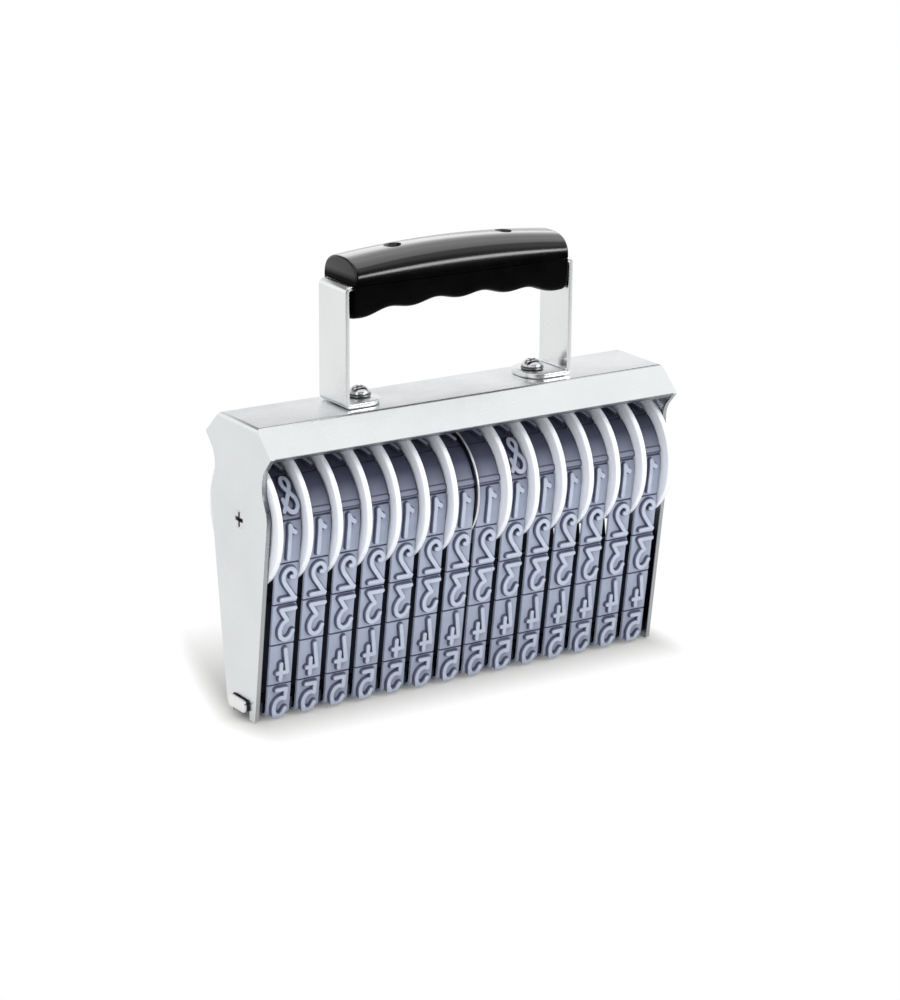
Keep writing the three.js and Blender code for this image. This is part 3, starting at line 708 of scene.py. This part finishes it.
def stroke(path, closed, centre, middle, height, polish):
    """One raised stroke. Its outline runs along one side of the path, round its end and back, or along each
    side of a closed path by itself. Its section rises from the cell's floor up a drafted wall and over a
    rounded edge to the flat face."""
    end_steps = 8
    path = (path - 0.5) * np.array([sign_width - 2 * face_half, sign_height - 2 * face_half])
    along = np.roll(path, -1, 0) - np.roll(path, 1, 0) if closed else np.gradient(path, axis=0)
    along /= np.linalg.norm(along, axis=1)[:, None]
    normal = np.stack([-along[:, 1], along[:, 0]], -1)
    if closed:
        loops = [(path, normal), (path, -normal)]
    else:
        bend = np.linspace(0, math.pi, end_steps)[1:-1, None]
        head = np.cos(bend) * normal[-1] + np.sin(bend) * along[-1]
        tail = -np.cos(bend) * normal[0] - np.sin(bend) * along[0]
        first, last = np.repeat(path[:1], len(bend), 0), np.repeat(path[-1:], len(bend), 0)
        outline = np.concatenate([path, last, path[::-1], first])
        loops = [(outline, np.concatenate([normal, head, -normal[::-1], tail]))]
    full = cell_floor + (type_face - cell_floor) * height
    foot = face_half + face_edge + wall_draft
    sunk, skin = cell_floor - root_depth, cell_floor + skin_gap

    # Each point has its distance from the path, its height and its relief, which is lowest at the foot of the
    # wall, where shade is painted
    section = [
        (0, sunk, 0.5), (foot + fillet, sunk, 0.5), (foot + fillet, skin, 0.36),
        (foot, skin + fillet_rise, 0.14), (face_half + face_edge, full - face_edge, 0.3),
        (face_half, full, polish), (0.5 * face_half, full, polish), (0, full, polish),
    ]
    widths, heights, relief = np.array(section).T[:, :, None]
    made = []
    for outline, outward in loops:
        flat = outline[None] + outward[None] * widths[:, :, None]
        points = on_loop(middle - sign_lift - flat[..., 1], heights, centre + sign_offset + flat[..., 0])
        made.append(surface(points, relief=relief))
    return made


def mirrored(*strokes):
    """Strokes written as they print, turned over left to right as they stand on the band."""
    return [[(1 - across, rise) for across, rise in corners] for corners in strokes]


def ring(*left):
    """A closed stroke whose right half mirrors the corners of its left half."""
    return [*left, *((1 - across, rise) for across, rise in left[-2::-1])]


# The strokes of each sign as they stand on the band, in shares of its width and height from its lower left.
# A stroke that ends at its first corner is closed.
signs = {
    "1": [[(0.30, 1.0), (0.30, 0.0)], [(0.30, 1.0), (0.44, 0.88), (0.66, 0.80)]],
    "2": [
        [(0.60, 0.72), (0.76, 0.71), (0.83, 0.81), (0.70, 0.94), (0.44, 0.99), (0.18, 0.93), (0.04, 0.79),
         (0.06, 0.64), (0.22, 0.48), (0.55, 0.25), (0.90, 0.0)],
        [(0.94, 0.0), (0.0, 0.0)],
    ],
    "3": [
        [(1.0, 1.0), (0.02, 1.0)],
        [(0.02, 1.0), (0.50, 0.63)],
        [(0.50, 0.63), (0.22, 0.54), (0.03, 0.33), (0.12, 0.10), (0.42, 0.0), (0.74, 0.07), (0.93, 0.25)],
    ],
    "4": [[(0.52, 1.0), (0.76, 0.23)], [(0.76, 0.23), (0.06, 0.23)], [(0.29, 0.52), (0.30, 0.0)]],
    "5": [
        [(0.10, 1.0), (0.74, 1.0)],
        [(0.74, 1.0), (0.71, 0.68)],
        [(0.71, 0.68), (0.42, 0.71), (0.12, 0.63), (-0.04, 0.44), (0.02, 0.24), (0.28, 0.16), (0.56, 0.20),
         (0.76, 0.34)],
    ],
    "6": mirrored(
        [(0.92, 0.80), (0.76, 0.95), (0.52, 1.0), (0.24, 0.88), (0.06, 0.58), (0.04, 0.30), (0.16, 0.08),
         (0.48, 0.0), (0.82, 0.08), (0.98, 0.29), (0.86, 0.49), (0.54, 0.57), (0.22, 0.50), (0.05, 0.36)]),
    "7": mirrored([(0.0, 0.86), (0.02, 1.0)], [(0.02, 1.0), (1.0, 1.0)],
                  [(1.0, 1.0), (0.66, 0.60), (0.46, 0.30), (0.38, 0.0)]),
    "8": [
        ring((0.50, 0.545), (0.22, 0.64), (0.12, 0.80), (0.26, 0.95), (0.50, 1.0)),
        ring((0.50, 0.535), (0.14, 0.44), (0.0, 0.25), (0.14, 0.06), (0.50, 0.0)),
    ],
    "0": [
        ring((0.50, 1.0), (0.16, 0.90), (0.02, 0.68), (0.0, 0.50), (0.02, 0.32), (0.16, 0.10), (0.50, 0.0)),
    ],
    "-": [[(0.12, 0.5), (0.88, 0.5)]],
    "/": mirrored([(0.12, 0.0), (0.88, 1.0)]),
    ".": [[(0.46, 0.02), (0.54, 0.02)]],
    "&": mirrored(
        [(0.98, 0.06), (0.62, 0.38), (0.30, 0.66), (0.20, 0.82), (0.30, 0.96), (0.52, 0.99), (0.68, 0.86),
         (0.60, 0.69), (0.30, 0.50), (0.06, 0.34), (0.02, 0.16), (0.22, 0.02), (0.54, 0.03), (0.80, 0.18),
         (0.92, 0.38)]),
}

# A nine is a six turned upside down
signs["9"] = [[(1 - across, 1 - rise) for across, rise in corners] for corners in signs["6"]]
cell_signs = ["5", "6", "7", "8", "9", "0", ".", "-", "/", "", "1", "2", "3", "4"]
blank_cell = cell_signs.index("")
ampersand_bands = (1, 9)
stroke_step = 0.015
face_polish = 0.95
rib_path = np.array([(-0.25, -0.04), (0.4, -0.04), (1.05, -0.04)])
rib_height = 0.16
rib_polish = 0.62

# The faces of the type are polished by use and lighter. Its walls and grooves and the belts' inner faces are
# painted dark with shade. The belts are also painted darker towards the foot, with ink and shade, and up
# under the housing, with shade.
relief_colors = (
    (0, (0.012, 0.014, 0.030)), (0.2, (0.04, 0.045, 0.085)), (0.5, (0.345, 0.39, 0.49)),
    (0.8, (0.41, 0.465, 0.565)), (1, (0.52, 0.575, 0.675)),
)
worn_color = (0.25, 0.26, 0.36)
ink_and_shade_color = (0.018, 0.018, 0.045)
lip_shade = (75 * mm, 94 * mm)
foot_ink_and_shade = (45 * mm, 0)
face_relief = (0.6, 0.9)

rubber, tree, shader = new_material("band_rubber", (0.30, 0.345, 0.435), 0.62)
ramp = tree.nodes.new("ShaderNodeValToRGB")
tree.links.new(mask_of(tree, "relief"), ramp.inputs[0])
stops = ramp.color_ramp.elements

# A new ramp already has its stops at 0 and 1
for share, color in relief_colors:
    stop = stops[-share] if share in (0, 1) else stops.new(share)
    stop.color = (*color, 1)
grain, clouds = grained(tree, lengths=(0.35, 0.35, 0.35), cloud=5)
worn = mixed(tree, spread(tree, clouds, 0.0, 0.3), ramp.outputs[0], worn_color)
height = object_axes(tree).outputs["Z"]
# Painted shade up under the housing, and ink with painted shade towards the foot
shade_under_lip = spread(tree, height, 0.0, 0.95, *lip_shade)
at_foot = spread(tree, height, 0.0, 0.3, *foot_ink_and_shade)
on_faces = spread(tree, mask_of(tree, "relief"), 1, 0.55, *face_relief)
ink_and_shade = math_node(tree, "MULTIPLY", math_node(tree, "MAXIMUM", shade_under_lip, at_foot), on_faces)
tree.links.new(mixed(tree, ink_and_shade, worn, ink_and_shade_color), shader.inputs["Base Color"])
tree.links.new(spread(tree, grain, 0.5, 0.68), shader.inputs["Roughness"])
bumped(tree, shader, grain, distance=0.02)


def cell_type(sign, cell, centre):
    """All the strokes of the sign in one cell, each a hair lower than the last, so that no two faces coincide
    where they meet. The blank cell has a low rib at its lower edge."""
    middle = first_groove + (cell + 0.5) * cell_pitch
    if not sign:
        return stroke(rib_path, False, centre, middle, rib_height, rib_polish)
    made = []
    for order, corners in enumerate(signs[sign]):
        closed = corners[0] == corners[-1]
        path = smooth_path(corners[:-1] if closed else corners, closed)
        made += stroke(path, closed, centre, middle, 1 - stroke_step * order, face_polish)
    return made


for number in range(1, len(frame["joints"]) + 1):
    low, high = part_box(f"number_band_{number:02d}")
    centre = (low.x + high.x) / 2
    points, quads, masks = belt_body()
    parts = [(points + (centre, 0, 0), quads, masks)]
    for cell, sign in enumerate(cell_signs):
        if cell == blank_cell and number in ampersand_bands:
            sign = "&"
        parts += cell_type(sign, cell, centre)
    band = built(f"band_{number:02d}", parts, 40)
    fitted(band, "root", rubber, "band_rubber", f"number_band_{number:02d}")


# Handle strap
# One flat bar of drawn steel bent to a U, with a rounded foot turned in at each end and drilled for a screw.

strap_low, strap_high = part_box("handle_strap")
strap_thickness = 2.0 * mm
strap_bend = 2.5 * mm
strap_edge = 0.45 * mm
foot_corner = 8.0 * mm
foot_length = 19 * mm

strap_steel = steel("strap_steel", (0.92, 0.93, 0.93), (0.88, 0.89, 0.895), smooth=0.22, rough=0.27,
                    grain_lengths=(0.3, 5, 0.3), bump=0.0004)


def bent_path(corners, radius):
    """The middle line of a bar bent at right angles in a plane: straight runs with a quarter arc of the
    radius at each corner. Gives the points, their directions and their distances from the start."""
    arc_steps = 10
    straight_step = 2 * mm
    corners = [np.array(corner, float) for corner in corners]
    points, directions = [], []
    reach = corners[0]
    for index in range(1, len(corners)):
        run = corners[index] - corners[index - 1]
        ahead = run / np.linalg.norm(run)
        last = index == len(corners) - 1
        stop = corners[index] if last else corners[index] - ahead * radius
        count = max(2, int(np.linalg.norm(stop - reach) / straight_step) + 1)
        share = np.linspace(0, 1, count)[:, None]
        points.append(reach + (stop - reach) * share)
        directions.append(np.repeat(ahead[None], count, 0))
        if last:
            break
        turn = corners[index + 1] - corners[index]
        turn /= np.linalg.norm(turn)
        angle = np.linspace(0, quarter, arc_steps + 1)[1:-1, None]
        points.append(stop + radius * (np.sin(angle) * ahead + (1 - np.cos(angle)) * turn))
        directions.append(np.cos(angle) * ahead + np.sin(angle) * turn)
        reach = corners[index] + turn * radius
    points, directions = np.concatenate(points), np.concatenate(directions)
    distance = np.concatenate([[0], np.cumsum(np.linalg.norm(np.diff(points, axis=0), axis=1))])
    return points, directions, distance


def capped(rings):
    """The rings of a long piece as one surface, with both ends closed by a ring drawn in to its middle."""
    start, end = (rings[index].mean(0, keepdims=True).repeat(rings.shape[1], 0)[None] for index in (0, -1))
    return surface(np.concatenate([start, rings, end]))


def strap_surface():
    """A rounded rectangle carried along the bent middle line. Towards each foot's end its width follows the
    corner circles, and the last ring closes on the line."""
    half = strap_thickness / 2
    side, top, bottom = strap_high.x - half, strap_high.z - half, strap_low.z + half
    toe = strap_high.x - foot_length
    corners = [(-toe, bottom), (-side, bottom), (-side, top), (side, top), (side, bottom), (toe, bottom)]
    points, directions, distance = bent_path(corners, strap_bend - half)
    fine = foot_corner * (1 - np.cos(np.linspace(0, quarter, 16)))
    foot = np.concatenate([fine, distance[distance > foot_corner]])
    foot = np.concatenate([foot[foot < distance[-1] - foot_corner], distance[-1] - fine[::-1]])
    place = np.stack([np.interp(foot, distance, points[:, axis]) for axis in (0, 1)], -1)
    ahead = np.stack([np.interp(foot, distance, directions[:, axis]) for axis in (0, 1)], -1)
    ahead /= np.linalg.norm(ahead, axis=1)[:, None]
    outward = np.stack([-ahead[:, 1], ahead[:, 0]], -1)
    to_end = np.minimum(foot, distance[-1] - foot)
    inset = np.clip(foot_corner - to_end, 0, foot_corner)
    width = strap_high.y - foot_corner + np.sqrt(np.maximum(foot_corner ** 2 - inset ** 2, 0))
    bend = np.linspace(0, quarter, 4)
    over, down = strap_edge * (np.sin(bend) - 1), strap_edge * (np.cos(bend) - 1)
    across = np.concatenate([over, over[::-1], -over, -over[::-1]])
    across_sign = np.repeat([1, 1, -1, -1], len(bend))
    thick = np.concatenate([down, -down[::-1], -down, down[::-1]])
    thick_sign = np.repeat([1, -1, -1, 1], len(bend))
    y = across_sign[None] * width[:, None] + across[None]
    level = thick_sign * half + thick
    x = place[:, 0:1] + outward[:, 0:1] * level
    z = place[:, 1:2] + outward[:, 1:2] * level
    return capped(np.stack(np.broadcast_arrays(x, y, z), -1))


strap = built("handle_bar", [strap_surface()])
fitted(strap, "root", strap_steel, "strap_steel", "handle_strap")


# Handle screws and washers
# A plated pan-head screw with a cross recess holds each foot, over a spring washer.

screw_shank = 2.0 * mm
screw_cross = (2.5 * mm, 1.15 * mm, 1.3 * mm)
washer_hole = 2.3 * mm
washer_edge = 0.12 * mm
washer_spring = 0.18 * mm
washer_split = 0.5
washer_split_half = 0.07
rest_gap = 0.1 * mm

screw_steel = steel("screw_steel", (0.82, 0.82, 0.83), (0.66, 0.66, 0.68), smooth=0.14, rough=0.22,
                    grain_lengths=(0.6, 0.6, 0.6), bump=0.002)
# The cross recess is painted dark with shade
darkened(screw_steel, mask_of(screw_steel.node_tree, "recess"), recess_shade_color)
washer_steel = steel("washer_steel", (0.30, 0.30, 0.31), (0.16, 0.16, 0.17), smooth=0.26, rough=0.4,
                     grain_lengths=(0.4, 0.4, 0.4), bump=0.003)


def about_z(x, radius, angle, height):
    """Points about an upright line at x."""
    return np.stack(np.broadcast_arrays(x + radius * np.cos(angle), radius * np.sin(angle), height), -1)


def pan_screw(name, node, seat, shank, cross, material, slot):
    """A screw in the place of its CAD node, on a grid of radius and angle. Its head is flat in the middle,
    with a cross recess, round at the shoulder and straight at the side, and its shank is under the seat."""
    head_turn = 0.4
    flat_share = 0.45
    shoulder_share, shoulder_power = 0.62, 2.2
    side_share = 0.36
    seat_rise, seat_inset = 0.12 * mm, 0.15 * mm
    low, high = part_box(node)
    x, radius, height = (low.x + high.x) / 2, (high.x - low.x) / 2, high.z - seat
    share = np.linspace(0, 1, 34)[:, None]
    angle = full_turn(112)
    recess = cross_depth(radius * share * np.cos(angle), radius * share * np.sin(angle), cross)
    drop = np.clip((share - flat_share) / (1 - flat_share), 0, 1) ** shoulder_power
    dome = high.z - shoulder_share * height * drop
    head = about_z(x, radius * share, angle + head_turn, dome - recess)
    below_radius = np.array([radius, radius, radius - seat_inset, shank, shank, 0])[:, None]
    below_height = np.array([seat + side_share * height, seat + seat_rise, seat, seat, low.z, low.z])[:, None]
    below = about_z(x, below_radius, angle + head_turn, below_height)
    fitted(built(name, [recessed(head, recess, cross, below)]), "root", material, slot, node)


def spring_washer(x, bottom, top, outer):
    """A ring split at one place, with its two ends sprung a little apart in height."""
    share = np.linspace(0, 1, 90)[:, None]
    angle = washer_split + washer_split_half + (2 * np.pi - 2 * washer_split_half) * share
    rim, low_edge, high_edge = outer - washer_edge, bottom + washer_edge, top - washer_edge
    radius = np.array([washer_hole, rim, outer, outer, rim, washer_hole])[None, :]
    height = np.array([bottom, bottom, low_edge, high_edge, top, top])[None, :]
    return capped(about_z(x, radius, angle, height + washer_spring * (share - 0.5)))


for end in ("left", "right"):
    low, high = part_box(f"handle_washer_{end}")
    pan_screw(f"pan_screw_{end}", f"handle_screw_{end}", high.z + rest_gap, screw_shank, screw_cross,
              screw_steel, "fastener_steel")
    x, outer = (low.x + high.x) / 2, (high.x - low.x) / 2
    washer = built(f"spring_washer_{end}", [spring_washer(x, low.z + rest_gap, high.z, outer)])
    fitted(washer, "root", washer_steel, "fastener_steel", f"handle_washer_{end}")


# Grip
# Two halves of black moulded plastic clamped on the strap. The upper is glossy, half-round and arched, with
# two screw holes, and the lower is duller and has finger grooves along its edge.

upper_low, upper_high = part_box("grip_upper")
lower_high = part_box("grip_lower")[1]
grip_half_width = 12.3 * mm
grip_edge = 1.1 * mm
crown_drop = 2.9 * mm
crown_power = 2.7
belly_depth = 10.8 * mm
belly_drop = 3.6 * mm
belly_power = 4.5
finger_pitch = 21.6 * mm
finger_depth = 1.7 * mm
screw_spacing = 51 * mm
pocket_radius = 3.5 * mm
pocket_floor = upper_low.z + 3.8 * mm
pocket_top = upper_high.z + 2 * mm
bolt_head = 2.2 * mm
bolt_shank = 1.6 * mm
bolt_cross = (2.0 * mm, 0.95 * mm, 1.1 * mm)
dull_below = upper_low.z + 1.5 * mm
polished_above = upper_low.z + 4 * mm
polish_roughness = 0.155


def black_plastic(name, smooth, rough):
    """Black moulded plastic with a dull skin and a little cloudy wear in its gloss."""
    material, tree, shader = new_material(name, (0.001, 0.001, 0.0012), smooth)
    grain, clouds = grained(tree, lengths=(0.25, 0.25, 0.25), cloud=12)
    tree.links.new(spread(tree, clouds, smooth, rough), shader.inputs["Roughness"])
    black = mixed(tree, spread(tree, clouds, 0, 1), (0.0008, 0.0008, 0.001), (0.002, 0.002, 0.0023))
    tree.links.new(black, shader.inputs["Base Color"])
    shader.inputs["Specular IOR Level"].default_value = 0.02
    bumped(tree, shader, grain, distance=0.0012)
    return material, tree, shader


top_plastic, tree, shader = black_plastic("grip_top_plastic", 0.13, 0.18)
belly_plastic = black_plastic("grip_belly_plastic", 0.22, 0.30)[0]

# The upper half has a polished skin, which is rubbed away down its flanks, where the hand holds it
polish = spread(tree, object_axes(tree).outputs["Z"], 0, 1, dull_below, polished_above)
tree.links.new(polish, shader.inputs["Coat Weight"])
shader.inputs["Coat Roughness"].default_value = polish_roughness


def half_shell(half_length, level, reach_at, power):
    """Half a superellipse over the grip's width, carried along the grip. Its reach up or down comes from
    reach_at, and both ends are drawn in by a quarter circle."""
    bend = np.linspace(0, quarter, 7)
    ends = half_length - grip_edge * (1 - np.sin(bend))
    inset = grip_edge * (1 - np.cos(bend))
    run = np.linspace(-half_length + grip_edge, half_length - grip_edge, 121)
    x = np.concatenate([-ends[::-1], run[1:-1], ends])[:, None]
    drawn_in = np.concatenate([inset[::-1], 0 * run[1:-1], inset])[:, None]
    angle = np.linspace(0, math.pi, 49)[None, :]
    across = np.sign(np.cos(angle)) * np.abs(np.cos(angle)) ** (2 / power)
    away = np.maximum(np.sin(angle), 0) ** (2 / power)
    reach = reach_at(x)
    shorter = reach - np.sign(reach) * drawn_in
    y = (grip_half_width - drawn_in) * across
    return capped(np.stack(np.broadcast_arrays(x, y, level + shorter * away), -1))


def upper_reach(x):
    """The crown's height over the parting line: an arch, highest in the middle."""
    return upper_high.z - upper_low.z - crown_drop * (x / upper_high.x) ** 2


def lower_reach(x):
    """The belly's depth under the parting line: deeper at the ends, with a wave for each finger."""
    wave = finger_depth / 2 * (1 - np.cos(2 * math.pi * x / finger_pitch))
    return wave - belly_depth - belly_drop * (x / lower_high.x) ** 2


upper = built("grip_top", [half_shell(upper_high.x, upper_low.z, upper_reach, crown_power)], 30)
lower = built("grip_belly", [half_shell(lower_high.x, lower_high.z, lower_reach, belly_power)], 30)

# The two screw holes are cut from the upper half
pockets = []
for side in (-1, 1):
    radius = pocket_radius * np.array([0, 0.6, 1, 1, 0])[:, None]
    height = np.array([pocket_floor, pocket_floor, pocket_floor, pocket_top, pocket_top])[:, None]
    pockets.append(surface(about_z(side * screw_spacing / 2, radius, full_turn(64), height)))
cutter = built("pocket_cutter", pockets)
cut = upper.modifiers.new("screw_pockets", "BOOLEAN")
cut.operation = "DIFFERENCE"
cut.solver = "EXACT"
cut.object = cutter
bpy.context.view_layer.update()
cut_mesh = bpy.data.meshes.new_from_object(upper.evaluated_get(bpy.context.evaluated_depsgraph_get()))
upper.modifiers.clear()
upper.data = cut_mesh
cutter_mesh = cutter.data
bpy.data.objects.remove(cutter)
bpy.data.meshes.remove(cutter_mesh)
fitted(upper, "root", top_plastic, "grip_plastic", "grip_upper")
fitted(lower, "root", belly_plastic, "grip_plastic", "grip_lower")

for end in ("left", "right"):
    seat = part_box(f"grip_screw_{end}")[1].z - bolt_head
    pan_screw(f"grip_bolt_{end}", f"grip_screw_{end}", seat, bolt_shank, bolt_cross,
              black_steel_and_gap_shade, "dark_steel")


# Studio
# A pale floor and soft lamps. The world and the floor show white to the camera, except for a painted shade
# on the floor near the machine. In metal and gloss the room is pale too, a little greyer high up behind the
# machine, and dark in front of it beyond the floor's edge.

floor_reach = 3.0
floor_drop = 0.05 * mm
floor_color = (0.79, 0.79, 0.79)
# The colour that the camera sees near the machine, darker than the light it bounces, a painted shade
floor_shade_color = (0.44, 0.43, 0.41)
floor_glow = 0.06
floor_sheen = 0.86
floor_evenness = 0.6
floor_front = (-0.75, -0.55)
front_gloom = 0.08
footprint = 92 * mm
shade_lean = 0.28
shade_side = 2.6
shade_behind = 0.33
shade_fade = (2 * mm, 34 * mm)


def by_viewer(tree, to_camera, to_gloss):
    """The first value for camera and transmission rays, the second for glossy rays, and zero for the rest."""
    path = tree.nodes.new("ShaderNodeLightPath")
    seen = math_node(tree, "MAXIMUM", path.outputs["Is Camera Ray"], path.outputs["Is Transmission Ray"])
    direct = math_node(tree, "MULTIPLY", seen, to_camera)
    return math_node(tree, "MULTIPLY_ADD", path.outputs["Is Glossy Ray"], to_gloss, direct)


square = [(-1, -1), (1, -1), (1, 1), (-1, 1)]
floor_mesh = bpy.data.meshes.new("floor")
floor_mesh.from_pydata([(floor_reach * x, floor_reach * y, 0) for x, y in square], [], [(0, 1, 2, 3)])
floor = bpy.data.objects.new("floor", floor_mesh)
floor.location.z = -floor_drop
bpy.context.scene.collection.objects.link(floor)
floor_paint = bpy.data.materials.new("floor")
floor_paint.use_nodes = True
tree = floor_paint.node_tree
tree.nodes.remove(tree.nodes["Principled BSDF"])
apart = object_axes(tree)

# The painted shade ends soon past the machine's ends, goes on further behind it, and leans to the right there
behind = math_node(tree, "MAXIMUM", apart.outputs["Y"], 0)
leaning = math_node(tree, "MULTIPLY_ADD", behind, -shade_lean, apart.outputs["X"])
past_end = math_node(tree, "SUBTRACT", math_node(tree, "ABSOLUTE", leaning), footprint)
sideways = math_node(tree, "MULTIPLY", past_end, shade_side)
before = math_node(tree, "MULTIPLY", apart.outputs["Y"], -1)
beyond = math_node(tree, "MULTIPLY", apart.outputs["Y"], shade_behind)
away = tree.nodes.new("ShaderNodeCombineXYZ")
tree.links.new(math_node(tree, "MAXIMUM", sideways, 0), away.inputs["X"])
tree.links.new(math_node(tree, "MAXIMUM", before, beyond), away.inputs["Y"])
reach = tree.nodes.new("ShaderNodeVectorMath")
reach.operation = "LENGTH"
tree.links.new(away.outputs[0], reach.inputs[0])

# Near the machine the floor is paper with a little glow, shown darker to the camera than the light it bounces
# as a painted shade, and further off and in front it shows plain white
paper = tree.nodes.new("ShaderNodeBsdfDiffuse")
shown_with_shade = mixed(tree, by_viewer(tree, 1, 1), floor_color, floor_shade_color)
tree.links.new(shown_with_shade, paper.inputs["Color"])
glow = tree.nodes.new("ShaderNodeEmission")
tree.links.new(by_viewer(tree, floor_glow, 0), glow.inputs["Strength"])
near = tree.nodes.new("ShaderNodeAddShader")
tree.links.new(paper.outputs[0], near.inputs[0])
tree.links.new(glow.outputs[0], near.inputs[1])
in_front = spread(tree, apart.outputs["Y"], 1, 0, *floor_front)
sheen = spread(tree, in_front, floor_sheen, front_gloom, 0, 1)
white = tree.nodes.new("ShaderNodeEmission")
tree.links.new(by_viewer(tree, 1, sheen), white.inputs["Strength"])
far = spread(tree, reach.outputs["Value"], 0, 1, *shade_fade)
evened = math_node(tree, "MAXIMUM", math_node(tree, "MAXIMUM", far, in_front), floor_evenness)
blend = tree.nodes.new("ShaderNodeMixShader")
tree.links.new(by_viewer(tree, far, evened), blend.inputs[0])
tree.links.new(near.outputs[0], blend.inputs[1])
tree.links.new(white.outputs[0], blend.inputs[2])
tree.links.new(blend.outputs[0], tree.nodes["Material Output"].inputs["Surface"])
floor.data.materials.append(floor_paint)

# Directions go from -1 to 1 along each axis. Each pair has the two between which a shade comes or goes.
ambient = 0.45
grey_behind = 0.8
room_grey_from = (0.40, 0.50)
room_grey_to = (0.74, 0.82)
room_behind = (0.12, 0.32)
room_front = (-0.78, -0.60)

world = bpy.data.worlds.new("studio")
bpy.context.scene.world = world
world.use_nodes = True
tree = world.node_tree
background = tree.nodes["Background"]
background.inputs["Color"].default_value = (1, 1, 1, 1)
toward = tree.nodes.new("ShaderNodeTexCoord")
apart = tree.nodes.new("ShaderNodeSeparateXYZ")
tree.links.new(toward.outputs["Generated"], apart.inputs[0])
above = spread(tree, apart.outputs["Z"], 0, 1, *room_grey_from)
below = spread(tree, apart.outputs["Z"], 1, 0, *room_grey_to)
behind = spread(tree, apart.outputs["Y"], 0, grey_behind, *room_behind)
greyer = math_node(tree, "MULTIPLY", math_node(tree, "MULTIPLY", above, below), behind)
room = math_node(tree, "SUBTRACT", spread(tree, apart.outputs["Y"], front_gloom, 1, *room_front), greyer)

# The camera sees white, gloss sees the room, and all other light from the world is the ambient light
shown = by_viewer(tree, 1 - ambient, math_node(tree, "SUBTRACT", room, ambient))
tree.links.new(math_node(tree, "ADD", shown, ambient), background.inputs["Strength"])


def softbox(name, place, width, length, power, shows):
    """A rectangular area lamp that faces the machine. It shows in metal and gloss only where shows is true.
    Gives the lamp's object."""
    lamp = bpy.data.lights.new(name, "AREA")
    lamp.shape = "RECTANGLE"
    lamp.size = width
    lamp.size_y = length
    lamp.energy = power
    holder = bpy.data.objects.new(name, lamp)
    holder.location = place
    holder.rotation_euler = (view_target - Vector(place)).to_track_quat("-Z", "Y").to_euler()
    holder.visible_glossy = shows
    bpy.context.scene.collection.objects.link(holder)
    return holder


softbox("key", (0.22, -0.88, 1.3), width=0.7, length=0.7, power=9.0, shows=False)
softbox("top", (-0.1, 0.3, 1.3), width=0.9, length=0.9, power=3.8, shows=False)
softbox("fill", (-1.2, -0.7, 0.6), width=0.9, length=0.9, power=8.5, shows=False)
softbox("strip", (0.64, -1.02, 0.39), width=0.9, length=0.18, power=5.0, shows=True)

# A broad box over the machine lights only the grip, whose top mirrors it
only_grip = bpy.data.collections.new("only_grip")
only_grip.objects.link(upper)
overhead = softbox("overhead", (0.78, 0.56, 1.31), width=2.3, length=2.3, power=27.0, shows=True)
overhead.light_linking.receiver_collection = only_grip

bpy.context.scene.view_settings.view_transform = "Standard"
